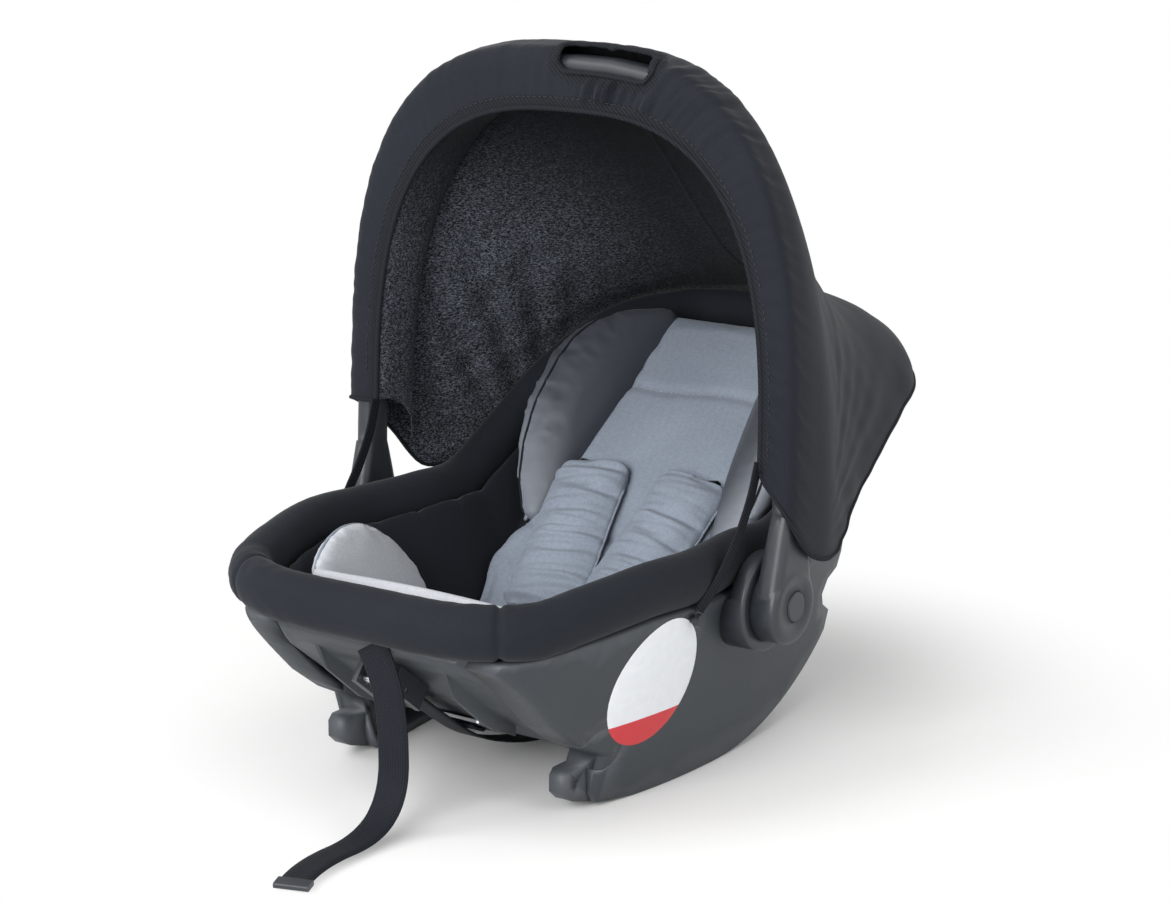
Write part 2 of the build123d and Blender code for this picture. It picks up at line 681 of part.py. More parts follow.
put("seat_tub", tub)
both("side_skirt", skirt)
both("belt_hook", hook)
put("shell_foam", foam)
both("canopy_knob", knob)
put("handle_bar", handle)
both("hub_boss", boss)
both("pivot_pin", pin)
both("lock_gear", gear)
both("release_button", button)
put("rim_roll", rim_roll)
put("cover_lining", lining)
put("back_pad", back_pad)
put("seat_pad", seat_pad)
put("front_band", band)
both("head_wing", head_wing)
both("leg_wing", leg_wing)
both("shoulder_pad", shoulder_pad)
both("shoulder_strap", shoulder_strap)
both("lap_strap", lap_strap)
both("lap_anchor", lap_anchor)
put("crotch_strap", crotch_strap)
put("crotch_anchor", crotch_anchor)
put("harness_yoke", yoke)
put("buckle_housing", buckle)
put("buckle_button", red_button)
both("buckle_tongue", tongue)
put("adjuster_housing", adjuster)
put("adjuster_lever", lever)
put("lever_pin", lever_pin)
put("strap_run", strap_run)
put("strap_tail", tail)
put("strap_stop", tail_stop)
put("canopy", canopy)
both("canopy_elastic", elastic)
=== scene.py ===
import math

import bmesh
import bpy
import numpy as np
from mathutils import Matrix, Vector, noise
from mathutils.bvhtree import BVHTree


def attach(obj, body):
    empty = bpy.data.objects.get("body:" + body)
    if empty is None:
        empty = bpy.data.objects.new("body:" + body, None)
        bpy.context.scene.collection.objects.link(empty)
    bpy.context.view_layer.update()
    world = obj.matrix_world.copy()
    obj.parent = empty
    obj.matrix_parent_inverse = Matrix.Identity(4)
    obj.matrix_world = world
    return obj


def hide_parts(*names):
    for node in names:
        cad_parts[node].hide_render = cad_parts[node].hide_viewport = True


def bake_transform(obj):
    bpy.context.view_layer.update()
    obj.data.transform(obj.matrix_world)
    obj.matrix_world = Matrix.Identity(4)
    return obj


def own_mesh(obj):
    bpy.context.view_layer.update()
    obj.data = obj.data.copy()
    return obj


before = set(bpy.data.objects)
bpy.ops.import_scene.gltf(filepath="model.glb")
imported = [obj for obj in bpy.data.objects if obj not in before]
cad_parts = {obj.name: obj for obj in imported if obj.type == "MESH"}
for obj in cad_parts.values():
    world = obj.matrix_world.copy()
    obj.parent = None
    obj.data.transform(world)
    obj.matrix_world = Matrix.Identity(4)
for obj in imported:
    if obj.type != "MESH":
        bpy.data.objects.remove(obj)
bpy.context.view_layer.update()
scene = bpy.context.scene
scene.view_settings.view_transform = "Standard"


# The studio: the seat stands on a sweep of pale matt paper under wide soft lamps.
# The camera stands in front and to the seat's left, a little above its rim, with a long lens.
def srgb(text):
    parts = [int(text[i:i + 2], 16) / 255 for i in (1, 3, 5)]
    return [p / 12.92 if p <= 0.04045 else ((p + 0.055) / 1.055) ** 2.4 for p in parts] + [1.0]


def fit(material, kind, values=None, links=None, **settings):
    made = material.node_tree.nodes.new(kind)
    for name, value in settings.items():
        setattr(made, name, value)
    for name, value in (values or {}).items():
        made.inputs[name].default_value = value
    for name, socket in (links or {}).items():
        material.node_tree.links.new(socket, made.inputs[name])
    return made


def finish_named(name):
    material = bpy.data.materials.new(name)
    material.use_nodes = True
    return material, material.node_tree.nodes["Principled BSDF"]


AXLE_AHEAD = 44.25


def spot(x, y, z):
    # millimetres from the handle axle's line on the floor, which lies ahead of the part's origin, turned to metres
    return Vector((x / 1000, (y - AXLE_AHEAD) / 1000, z / 1000))


def looked_at(material):
    # 1 for what the camera sees, directly, in a reflection or through glass
    rays = fit(material, "ShaderNodeLightPath")
    mirrored = fit(material, "ShaderNodeMath", operation="MAXIMUM",
                   links={0: rays.outputs["Is Glossy Ray"], 1: rays.outputs["Is Transmission Ray"]})
    seen = fit(material, "ShaderNodeMath", operation="MAXIMUM",
               links={0: rays.outputs["Is Camera Ray"], 1: mirrored.outputs[0]})
    return seen.outputs[0]


FLOOR_HALF = 9
floor_mesh = bpy.data.meshes.new("studio_floor")
floor_mesh.from_pydata([(FLOOR_HALF * x, FLOOR_HALF * y, 0) for x, y in ((-1, -1), (1, -1), (1, 1), (-1, 1))], [],
                       [(0, 1, 2, 3)])
floor = bpy.data.objects.new("studio_floor", floor_mesh)
scene.collection.objects.link(floor)
# a hair below the runners, so that the two faces don't fight
floor.location.z = -0.0006
paper, paper_skin = finish_named("pale_studio_paper")
paper_skin.inputs["Base Color"].default_value = srgb("#f3f3f2")
paper_skin.inputs["Roughness"].default_value = 0.95
# the sweep is lit to plain white beyond the seat's own soft shadow, as seen by the camera
paper_at = fit(paper, "ShaderNodeTexCoord")
away = fit(paper, "ShaderNodeVectorMath", {1: (1.0, 1.0, 0.0)}, {0: paper_at.outputs["Object"]}, operation="MULTIPLY")
reach = fit(paper, "ShaderNodeVectorMath", links={0: away.outputs["Vector"]}, operation="LENGTH")
faded = fit(paper, "ShaderNodeMapRange", {"From Min": 0.25, "From Max": 0.54}, {"Value": reach.outputs["Value"]},
            interpolation_type="SMOOTHSTEP")
lit = fit(paper, "ShaderNodeMath", links={0: faded.outputs[0], 1: looked_at(paper)}, operation="MULTIPLY")
glow = fit(paper, "ShaderNodeEmission", {"Color": (1, 1, 1, 1), "Strength": 1.0})
sweep = fit(paper, "ShaderNodeMixShader", links={0: lit.outputs[0], 1: paper_skin.outputs[0], 2: glow.outputs[0]})
paper.node_tree.links.new(sweep.outputs[0], paper.node_tree.nodes["Material Output"].inputs["Surface"])
floor_mesh.materials.append(paper)

world = bpy.data.worlds.new("soft_studio")
world.use_nodes = True
scene.world = world
sky = world.node_tree.nodes["Background"]
level = fit(world, "ShaderNodeMapRange", {"To Min": 0.55, "To Max": 1.0}, {"Value": looked_at(world)})
world.node_tree.links.new(level.outputs[0], sky.inputs["Strength"])
sky.inputs["Color"].default_value = (1, 1, 1, 1)

seat_middle = Vector((0, 0, 0.25))
for name, place, size, power in (
    ("front_lamp", (0.35, -2.9, 1.25), 2.0, 82),
    ("key_lamp", (-1.5, -1.9, 2.5), 2.0, 40),
    ("side_lamp", (2.6, -0.6, 1.5), 1.6, 14),
    ("back_lamp", (0.4, 2.2, 2.4), 2.0, 16),
):
    lamp = bpy.data.lights.new(name, "AREA")
    lamp.shape = "DISK"
    lamp.size = size
    lamp.energy = power
    lamp_at = bpy.data.objects.new(name, lamp)
    lamp_at.location = place
    lamp_at.rotation_mode = "QUATERNION"
    lamp_at.rotation_quaternion = (seat_middle - Vector(place)).to_track_quat("-Z", "Y")
    scene.collection.objects.link(lamp_at)

lens = bpy.data.cameras.new("studio_camera")
lens.sensor_width = 36.0
lens.lens = 87.08
lens.clip_end = 60
camera = bpy.data.objects.new("studio_camera", lens)
camera.location = spot(1300, -1832, 796)
camera.rotation_mode = "QUATERNION"
camera.rotation_quaternion = (spot(0, 25, 233) - camera.location).to_track_quat("-Z", "Y")
scene.collection.objects.link(camera)
scene.camera = camera


# The loose tail of the adjuster strap hangs from under the front rim, curls onto the floor and ends in a sewn stop.
# It is harness webbing: black polyester yarn woven narrow, with ribs along its length and a firm edge.
# The yarn is dull, so that light shows the ribs as fine lines and little else.
webbing, webbing_skin = finish_named("ribbed_polyester_webbing")
flat = fit(webbing, "ShaderNodeTexCoord")
# twelve ribs across the strap; weft threads are about 0.5 mm, drawn at 3 mm so that they show; lint in 11 mm clouds
ribs = fit(webbing, "ShaderNodeTexWave", {"Scale": 3.77, "Distortion": 0.0}, {"Vector": flat.outputs["UV"]},
           bands_direction="X", wave_profile="SIN")
weft = fit(webbing, "ShaderNodeTexWave", {"Scale": 105.0, "Distortion": 0.6}, {"Vector": flat.outputs["UV"]},
           bands_direction="Y", wave_profile="SIN")
yarn = fit(webbing, "ShaderNodeMath", {1: 0.35}, {0: weft.outputs["Fac"], 2: ribs.outputs["Fac"]},
           operation="MULTIPLY_ADD")
lint = fit(webbing, "ShaderNodeTexNoise", {"Scale": 90.0, "Detail": 5.0}, {"Vector": flat.outputs["Object"]})
shade = fit(webbing, "ShaderNodeMath", {1: 0.45}, {0: lint.outputs["Fac"], 2: yarn.outputs[0]},
            operation="MULTIPLY_ADD")
tone = fit(webbing, "ShaderNodeValToRGB", links={"Fac": shade.outputs[0]})
tone.color_ramp.elements[0].color = srgb("#0c0e12")
tone.color_ramp.elements[1].color = srgb("#1b1e25")
webbing.node_tree.links.new(tone.outputs["Color"], webbing_skin.inputs["Base Color"])
relief = fit(webbing, "ShaderNodeBump", {"Strength": 0.55, "Distance": 0.0006}, {"Height": yarn.outputs[0]})
webbing.node_tree.links.new(relief.outputs["Normal"], webbing_skin.inputs["Normal"])
webbing_skin.inputs["Roughness"].default_value = 0.7
webbing_skin.inputs["Sheen Weight"].default_value = 0.02
webbing_skin.inputs["Specular IOR Level"].default_value = 0.14


def quads(rows, columns, rows_meet=False, columns_meet=True):
    # the faces of a grid of points given row by row, closed round where rows or columns meet
    faces = []
    for i in range(rows if rows_meet else rows - 1):
        here, after = i * columns, (i + 1) % rows * columns
        for k in range(columns if columns_meet else columns - 1):
            beside = (k + 1) % columns
            faces.append((here + k, here + beside, after + beside, after + k))
    return faces


def strip(name, line, wide, width, thick, material):
    # a flat band along a line: rounded edges, with its length and width kept as texture coordinates
    half_w, half_t = width / 2, thick / 2
    ring = [(-half_w, 0.0), (-half_w + half_t * 0.6, half_t)]
    ring += [(half_w * share, half_t) for share in (-0.5, 0.0, 0.5)]
    ring += [(half_w - half_t * 0.6, half_t), (half_w, 0.0)]
    ring += [(x, -z) for x, z in reversed(ring[1:-1])]
    spots, across, along = [], [], []
    run = 0.0
    for i, here in enumerate(line):
        ahead = (line[min(i + 1, len(line) - 1)] - line[max(i - 1, 0)]).normalized()
        side = Vector(wide)
        side = (side - ahead * side.dot(ahead)).normalized()
        up = side.cross(ahead)
        if i:
            run += (here - line[i - 1]).length
        for x, z in ring:
            spots.append(here + side * x + up * z)
            across.append(x / width + 0.5)
            along.append(run)
    n = len(ring)
    last = (len(line) - 1) * n
    faces = quads(len(line), n) + [tuple(range(n)), tuple(last + k for k in reversed(range(n)))]
    made = bpy.data.meshes.new(name)
    made.from_pydata(spots, [], faces)
    chart = made.uv_layers.new(name="along")
    for corner in made.loops:
        chart.data[corner.index].uv = (across[corner.vertex_index], along[corner.vertex_index])
    for face in made.polygons:
        face.use_smooth = len(face.vertices) == 4
    made.materials.append(material)
    made.validate()
    piece = bpy.data.objects.new(name, made)
    scene.collection.objects.link(piece)
    return piece


TAIL_WIDE, TAIL_THICK = 0.025, 0.002
tail_route = [(10, -268.8, 145.6), (23, -268, 124), (29, -267, 80), (29, -268, 30), (31, -300, 5.5),
              (28, -364, 6.0), (36, -389, 3.9)]
route = bpy.data.curves.new("tail_route", "CURVE")
route.dimensions = "3D"
spline = route.splines.new("NURBS")
spline.points.add(len(tail_route) - 1)
for knot, place in zip(spline.points, tail_route):
    knot.co = (*spot(*place), 1.0)
spline.order_u = 3
spline.use_endpoint_u = True
route.resolution_u = 16
guide = bpy.data.objects.new("tail_route", route)
scene.collection.objects.link(guide)
bpy.context.view_layer.update()
traced = bpy.data.meshes.new_from_object(guide.evaluated_get(bpy.context.evaluated_depsgraph_get()))
tail_line = [v.co.copy() for v in traced.vertices]
bpy.data.objects.remove(guide)
tail = strip("adjuster_strap_tail", tail_line, (0.964, 0.267, 0), TAIL_WIDE, TAIL_THICK, webbing)


def fixed_to_seat(piece, node=None):
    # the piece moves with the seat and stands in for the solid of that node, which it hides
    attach(piece, "seat")
    if node:
        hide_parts(node)


fixed_to_seat(tail, "strap_tail")


# The shell, with its rocker skirts and belt hooks, is one large injection moulding in black polypropylene.
# Its spark-eroded mould leaves a fine grain, which catches light softly, and handled edges are rubbed a little paler.
moulded, moulded_skin = finish_named("spark_grained_polypropylene")
place = fit(moulded, "ShaderNodeTexCoord")
# real grain is about 0.3 mm; drawn at 1.6 mm so that it shows at this distance, over clouds of about 110 mm
grain = fit(moulded, "ShaderNodeTexNoise", {"Scale": 620.0, "Detail": 3.0, "Roughness": 0.6},
            {"Vector": place.outputs["Object"]})
cloud = fit(moulded, "ShaderNodeTexNoise", {"Scale": 9.0, "Detail": 3.0}, {"Vector": place.outputs["Object"]})
edge = fit(moulded, "ShaderNodeNewGeometry")
rub = fit(moulded, "ShaderNodeMapRange", {"From Min": 0.52, "From Max": 0.6, "To Max": 0.35},
          {"Value": edge.outputs["Pointiness"]})
even = fit(moulded, "ShaderNodeMix", {"A": srgb("#262b30"), "B": srgb("#30363c")},
           {"Factor": cloud.outputs["Fac"]}, data_type="RGBA")
worn = fit(moulded, "ShaderNodeMix", {"B": srgb("#5b5e63")},
           {"Factor": rub.outputs[0], "A": even.outputs["Result"]}, data_type="RGBA")
moulded.node_tree.links.new(worn.outputs["Result"], moulded_skin.inputs["Base Color"])
gloss = fit(moulded, "ShaderNodeMapRange", {"To Min": 0.44, "To Max": 0.62}, {"Value": grain.outputs["Fac"]})
moulded.node_tree.links.new(gloss.outputs[0], moulded_skin.inputs["Roughness"])
pitted = fit(moulded, "ShaderNodeBump", {"Strength": 0.16, "Distance": 0.0005}, {"Height": grain.outputs["Fac"]})
moulded.node_tree.links.new(pitted.outputs["Normal"], moulded_skin.inputs["Normal"])


def dress(material, *names):
    for name in names:
        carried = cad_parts[name]
        carried.data.materials.clear()
        carried.data.materials.append(material)


shell_pieces = ("seat_tub", "side_skirt_left", "side_skirt_right", "belt_hook_left", "belt_hook_right")
dress(moulded, *shell_pieces)


# The carry handle turns on the hub bosses; both, like the buttons and housings, are moulded in smoother black plastic.
# It has a faint orange-peel sheen. The grip shows through the slot in the canopy and is polished by hands.
handled, handled_skin = finish_named("smooth_moulded_polypropylene")
held = fit(handled, "ShaderNodeTexCoord")
# a soft orange-peel skin of about 2 mm with faint scuffs some 30 mm long
peel = fit(handled, "ShaderNodeTexNoise", {"Scale": 480.0, "Detail": 2.0}, {"Vector": held.outputs["Object"]})
scuff = fit(handled, "ShaderNodeTexNoise", {"Scale": 34.0, "Detail": 6.0, "Distortion": 0.6},
            {"Vector": held.outputs["Object"]})
body_tone = fit(handled, "ShaderNodeMix", {"A": srgb("#23262b"), "B": srgb("#2f3339")},
                {"Factor": scuff.outputs["Fac"]}, data_type="RGBA")
handled.node_tree.links.new(body_tone.outputs["Result"], handled_skin.inputs["Base Color"])
polish = fit(handled, "ShaderNodeMapRange", {"To Min": 0.34, "To Max": 0.52}, {"Value": scuff.outputs["Fac"]})
handled.node_tree.links.new(polish.outputs[0], handled_skin.inputs["Roughness"])
skin_relief = fit(handled, "ShaderNodeBump", {"Strength": 0.1, "Distance": 0.0004}, {"Height": peel.outputs["Fac"]})
handled.node_tree.links.new(skin_relief.outputs["Normal"], handled_skin.inputs["Normal"])
dress(handled, "handle_bar", "hub_boss_left", "hub_boss_right", "release_button_left", "release_button_right",
      "lock_gear_left", "lock_gear_right", "canopy_knob_left", "canopy_knob_right", "strap_stop",
      "buckle_housing", "adjuster_housing")
# the large mouldings have blended corners: their faces are joined and shaded round up to a sharp edge
SHARP = math.radians(32)
for name in ("handle_bar", *shell_pieces, "hub_boss_left", "hub_boss_right"):
    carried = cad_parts[name]
    weld = carried.modifiers.new("join_corners", "WELD")
    weld.merge_threshold = 0.00002
    with bpy.context.temp_override(object=carried, active_object=carried, selected_objects=[carried],
                                   selected_editable_objects=[carried]):
        bpy.ops.object.shade_smooth_by_angle(angle=SHARP)


# Pressed steel fittings: tongues, yoke, anchor frames, lever and pivot pins in bright zinc plate.
# Rolled sheet leaves fine lines along the piece and the plating is clean with dull edges.
zinc, zinc_skin = finish_named("bright_zinc_plated_steel")
steel_at = fit(zinc, "ShaderNodeTexCoord")
# rolling lines about 17 mm long; they are finer than 0.1 mm and drawn 1.1 mm apart so that they show
drawn = fit(zinc, "ShaderNodeMapping", {"Scale": (900.0, 60.0, 900.0)}, {"Vector": steel_at.outputs["Object"]})
lines = fit(zinc, "ShaderNodeTexNoise", {"Scale": 1.0, "Detail": 3.0}, {"Vector": drawn.outputs["Vector"]})
dull = fit(zinc, "ShaderNodeMapRange", {"To Min": 0.22, "To Max": 0.42}, {"Value": lines.outputs["Fac"]})
zinc.node_tree.links.new(dull.outputs[0], zinc_skin.inputs["Roughness"])
plate = fit(zinc, "ShaderNodeMix", {"A": srgb("#b4b7ba"), "B": srgb("#d2d4d6")},
            {"Factor": lines.outputs["Fac"]}, data_type="RGBA")
zinc.node_tree.links.new(plate.outputs["Result"], zinc_skin.inputs["Base Color"])
zinc_skin.inputs["Metallic"].default_value = 1.0
dress(zinc, "pivot_pin_left", "pivot_pin_right", "harness_yoke", "buckle_tongue_left", "buckle_tongue_right",
      "crotch_anchor", "lap_anchor_left", "lap_anchor_right", "adjuster_lever", "lever_pin")


# The buckle's press button slides in the housing on a spring and is moulded in red acetal.
# The mould leaves it glossy, with a faint haze in patches of about 4 mm.
red_acetal, red_skin = finish_named("red_acetal")
red_at = fit(red_acetal, "ShaderNodeTexCoord")
haze = fit(red_acetal, "ShaderNodeTexNoise", {"Scale": 260.0, "Detail": 3.0}, {"Vector": red_at.outputs["Object"]})
red_tone = fit(red_acetal, "ShaderNodeMix", {"A": srgb("#a80f18"), "B": srgb("#c51a22")},
               {"Factor": haze.outputs["Fac"]}, data_type="RGBA")
red_acetal.node_tree.links.new(red_tone.outputs["Result"], red_skin.inputs["Base Color"])
red_gloss = fit(red_acetal, "ShaderNodeMapRange", {"To Min": 0.22, "To Max": 0.36}, {"Value": haze.outputs["Fac"]})
red_acetal.node_tree.links.new(red_gloss.outputs[0], red_skin.inputs["Roughness"])
dress(red_acetal, "buckle_button")


# The foam liner lies between shell and cover and is pressed into the tub.
# It is steam-moulded from grey beads of about 4 mm, which leaves a dull skin of small cells.
beads, beads_skin = finish_named("steam_moulded_bead_foam")
bead_at = fit(beads, "ShaderNodeTexCoord")
cells = fit(beads, "ShaderNodeTexVoronoi", {"Scale": 240.0}, {"Vector": bead_at.outputs["Object"]})
bead_tone = fit(beads, "ShaderNodeMix", {"A": srgb("#3a3b3e"), "B": srgb("#55565a")},
                {"Factor": cells.outputs["Distance"]}, data_type="RGBA")
beads.node_tree.links.new(bead_tone.outputs["Result"], beads_skin.inputs["Base Color"])
beads_skin.inputs["Roughness"].default_value = 0.8
dress(beads, "shell_foam")


# The rolled rim of the cover: black cotton jersey sewn over a soft foam roll, drawn round the shell's edge.
# Two short cross seams join the front panel to the sides, and the jersey creases lightly on the bends.
def knit(name, low, high, thread, sheen, fuzz):
    # weft-knitted cloth: rows of loops a thread apart, brushed to a fuzz, duller in the hollows
    # the fuzz is drawn at 2.4 mm and wears in clouds of about 70 mm; a wave of scale 1 repeats after 0.314 m
    cloth, skin = finish_named(name)
    where = fit(cloth, "ShaderNodeTexCoord")
    looped = {"Scale": 0.314 / thread, "Distortion": 1.2, "Detail": 2.0}
    rows = fit(cloth, "ShaderNodeTexWave", looped, {"Vector": where.outputs["Object"]}, bands_direction="DIAGONAL")
    turned = fit(cloth, "ShaderNodeMapping", {"Rotation": (0.9, 0.4, 1.5)}, {"Vector": where.outputs["Object"]})
    loops = fit(cloth, "ShaderNodeTexWave", looped, {"Vector": turned.outputs["Vector"]}, bands_direction="DIAGONAL")
    crossed = fit(cloth, "ShaderNodeMath", links={0: rows.outputs["Fac"], 1: loops.outputs["Fac"]},
                  operation="MULTIPLY")
    woven = fit(cloth, "ShaderNodeMath", {1: 0.14}, {0: crossed.outputs[0]}, operation="MULTIPLY")
    nap = fit(cloth, "ShaderNodeTexNoise", {"Scale": 420.0, "Detail": 6.0, "Roughness": 0.7},
              {"Vector": where.outputs["Object"]})
    wide = fit(cloth, "ShaderNodeTexNoise", {"Scale": 14.0, "Detail": 3.0}, {"Vector": where.outputs["Object"]})
    fuzzy = fit(cloth, "ShaderNodeMath", {1: fuzz}, {0: nap.outputs["Fac"], 2: woven.outputs[0]},
                operation="MULTIPLY_ADD")
    tone_in = fit(cloth, "ShaderNodeMath", {1: 0.6}, {0: wide.outputs["Fac"], 2: fuzzy.outputs[0]},
                  operation="MULTIPLY_ADD")
    spread = fit(cloth, "ShaderNodeMapRange", {"From Min": 0.5 * fuzz - 0.05, "From Max": 0.5 * fuzz + 0.72},
                 {"Value": tone_in.outputs[0]})
    colour = fit(cloth, "ShaderNodeMix", {"A": srgb(low), "B": srgb(high)},
                 {"Factor": spread.outputs[0]}, data_type="RGBA")
    cloth.node_tree.links.new(colour.outputs["Result"], skin.inputs["Base Color"])
    raised = fit(cloth, "ShaderNodeBump", {"Strength": 0.3, "Distance": 0.0005}, {"Height": fuzzy.outputs[0]})
    cloth.node_tree.links.new(raised.outputs["Normal"], skin.inputs["Normal"])
    skin.inputs["Roughness"].default_value = 0.86
    skin.inputs["Sheen Weight"].default_value = sheen
    skin.inputs["Sheen Roughness"].default_value = 0.4
    skin.inputs["Specular IOR Level"].default_value = 0.25
    return cloth


# knit loops are about 0.7 mm on the cloth; drawn at 1.6 mm on every knit here so that they show
LOOP = 0.0016
jersey = knit("black_cotton_jersey", "#0f1218", "#1d222a", LOOP, 0.06, 0.5)


def add_mesh(name, spots, faces, *materials):
    made = bpy.data.meshes.new(name)
    made.from_pydata([tuple(s) for s in spots], [], faces)
    made.validate()
    for face in made.polygons:
        face.use_smooth = True
    for material in materials:
        made.materials.append(material)
    piece = bpy.data.objects.new(name, made)
    scene.collection.objects.link(piece)
    return piece


def rounded(points, steps, closed=False):
    # a smooth line through the points, evenly divided between each two
    line = []
    n = len(points)
    pieces = n if closed else n - 1
    for i in range(pieces):
        if closed:
            p = [points[(i + k - 1) % n] for k in range(4)]
        else:
            p = [points[max(i - 1, 0)], points[i], points[i + 1], points[min(i + 2, n - 1)]]
        for k in range(steps):
            t = k / steps
            line.append(0.5 * (2 * p[1] + (p[2] - p[0]) * t + (2 * p[0] - 5 * p[1] + 4 * p[2] - p[3]) * t * t
                               + (3 * p[1] - p[0] - 3 * p[2] + p[3]) * t ** 3))
    if not closed:
        line.append(points[-1].copy())
    return line


rim_side = [(62, -267, 168), (104, -259, 169), (136, -236, 170), (152, -195, 175), (165, -130, 180),
            (167, -70, 177), (160, 0, 176), (162, 65, 176), (162, 130, 206), (150, 195, 250), (124, 255, 284),
            (92, 300, 294), (58, 325, 296)]
rim_ring = [(0, -267, 168)] + rim_side + [(0, 331, 296)] + [(-x, y, z) for x, y, z in reversed(rim_side)]
rim_line = rounded([spot(*p) for p in rim_ring], 26, closed=True)
ROLL_DEEP, ROLL_TALL = 0.0182, 0.0212
SEAM_WIDE, BEND_WIDE = 0.0026, 0.05
ROUND = 36
seam_spots = [spot(118, -252, 170), spot(-118, -252, 170)]
spots = []
count = len(rim_line)
for i, here in enumerate(rim_line):
    ahead = (rim_line[(i + 1) % count] - rim_line[i - 1]).normalized()
    out = Vector((ahead.y, -ahead.x, 0)).normalized()
    up = out.cross(ahead)
    up = up if up.z > 0 else -up
    seam = max(math.exp(-(((here - s).length / SEAM_WIDE) ** 2)) for s in seam_spots)
    bend = max(math.exp(-(((here - s).length / BEND_WIDE) ** 2)) for s in seam_spots)
    for k in range(ROUND):
        a = 2 * math.pi * k / ROUND
        crease = noise.noise(Vector((here.x * 26, here.y * 26, a * 1.3)))
        fine = noise.noise(Vector((here.x * 90, here.y * 90, a * 2.2 + 7)))
        swell = 1.0 + 0.018 * crease + (0.01 + 0.035 * bend) * fine - 0.15 * seam
        spots.append(here + out * (ROLL_DEEP * swell * math.cos(a)) + up * (ROLL_TALL * swell * math.sin(a)))
rim_cover = add_mesh("rim_roll_cover", spots, quads(count, ROUND, rows_meet=True), jersey)
fixed_to_seat(rim_cover, "rim_roll")


# The cover's lining is the same jersey, sewn to the rim roll and laid over the foam.
# It is a little slack in the corners of the hollow, so that they show rounder than the moulding under it.
LONGEST, SLACK = 0.012, 0.0022
cut = bmesh.new()
cut.from_mesh(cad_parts["cover_lining"].data)
bmesh.ops.remove_doubles(cut, verts=cut.verts, dist=0.00002)
bmesh.ops.triangulate(cut, faces=cut.faces)
for turn in range(4):
    long_edges = [e for e in cut.edges if e.calc_length() > LONGEST]
    if not long_edges:
        break
    bmesh.ops.subdivide_edges(cut, edges=long_edges, cuts=1)
    bmesh.ops.triangulate(cut, faces=cut.faces)
firm = {v.index: v.co.copy() for v in cut.verts}
for turn in range(3):
    bmesh.ops.smooth_vert(cut, verts=cut.verts, factor=0.5, use_axis_x=True, use_axis_y=True, use_axis_z=True)
cut.verts.ensure_lookup_table()
for v in cut.verts:
    moved = v.co - firm[v.index]
    v.co = firm[v.index] + moved * min(1.0, SLACK / max(moved.length, 1e-9))
lining_mesh = bpy.data.meshes.new("seat_lining")
cut.to_mesh(lining_mesh)
cut.free()
for face in lining_mesh.polygons:
    face.use_smooth = True
lining_mesh.materials.append(jersey)
lining = bpy.data.objects.new("seat_lining", lining_mesh)
scene.collection.objects.link(lining)
fixed_to_seat(lining, "cover_lining")


# The insert's back and seat pads: brushed grey knit over soft wadding, sewn shut and filled so that the middle crowns.
# Rows of lock stitch cross both pads and draw the wadding in. The brushed face looks soft and slightly mottled.
def stuffed(node, name, material, cap, press=4.0, voxel=0.005, frames=14, start=0.0018, soften=3):
    # the pad is cut a little small and blown up as sewn cloth, each point held near its start
    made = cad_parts[node].data.copy()
    made.name = name
    pad = bpy.data.objects.new(name, made)
    scene.collection.objects.link(pad)
    made.materials.clear()
    remesh = pad.modifiers.new("even_cloth", "REMESH")
    remesh.mode = "VOXEL"
    remesh.voxel_size = voxel
    bpy.context.view_layer.update()
    even = bpy.data.meshes.new_from_object(pad.evaluated_get(bpy.context.evaluated_depsgraph_get()))
    pad.modifiers.clear()
    pad.data = even
    even.name = name
    body = bmesh.new()
    body.from_mesh(even)
    for turn in range(soften):
        bmesh.ops.smooth_vert(body, verts=body.verts, factor=0.5, use_axis_x=True, use_axis_y=True, use_axis_z=True)
    body.normal_update()
    for v in body.verts:
        v.co -= v.normal * start
    body.to_mesh(even)
    body.free()
    cloth = pad.modifiers.new("filling", "CLOTH")
    cloth.settings.quality = 4
    cloth.settings.mass = 0.25
    cloth.settings.tension_stiffness = 12
    cloth.settings.compression_stiffness = 12
    cloth.settings.shear_stiffness = 5
    cloth.settings.bending_stiffness = 0.4
    cloth.settings.use_pressure = True
    cloth.settings.uniform_pressure_force = press
    cloth.settings.effector_weights.gravity = 0.0
    cloth.collision_settings.use_collision = False
    cloth.point_cache.frame_start = 1
    cloth.point_cache.frame_end = frames
    for step in range(1, frames + 1):
        scene.frame_set(step)
    blown = bpy.data.meshes.new_from_object(pad.evaluated_get(bpy.context.evaluated_depsgraph_get()))
    before = np.array([v.co for v in even.vertices])
    after = np.array([v.co for v in blown.vertices])
    pad.modifiers.clear()
    scene.frame_set(1)
    gone = after - before
    far = np.linalg.norm(gone, axis=1, keepdims=True)
    kept = before + gone * np.minimum(1.0, cap / np.maximum(far, 1e-9))
    even.vertices.foreach_set("co", kept.astype(np.float32).ravel())
    bpy.data.meshes.remove(blown)
    for face in even.polygons:
        face.use_smooth = True
    even.materials.clear()
    even.materials.append(material)
    even.update()
    finer = pad.modifiers.new("fine_cloth", "SUBSURF")
    finer.levels = finer.render_levels = 1
    return pad


def relaxed(line, turns):
    # evens out a traced edge by averaging neighbours, with its ends held
    for turn in range(turns):
        line = [line[0]] + [(a + 2 * b + c) / 4 for a, b, c in zip(line, line[1:], line[2:])] + [line[-1]]
    return line


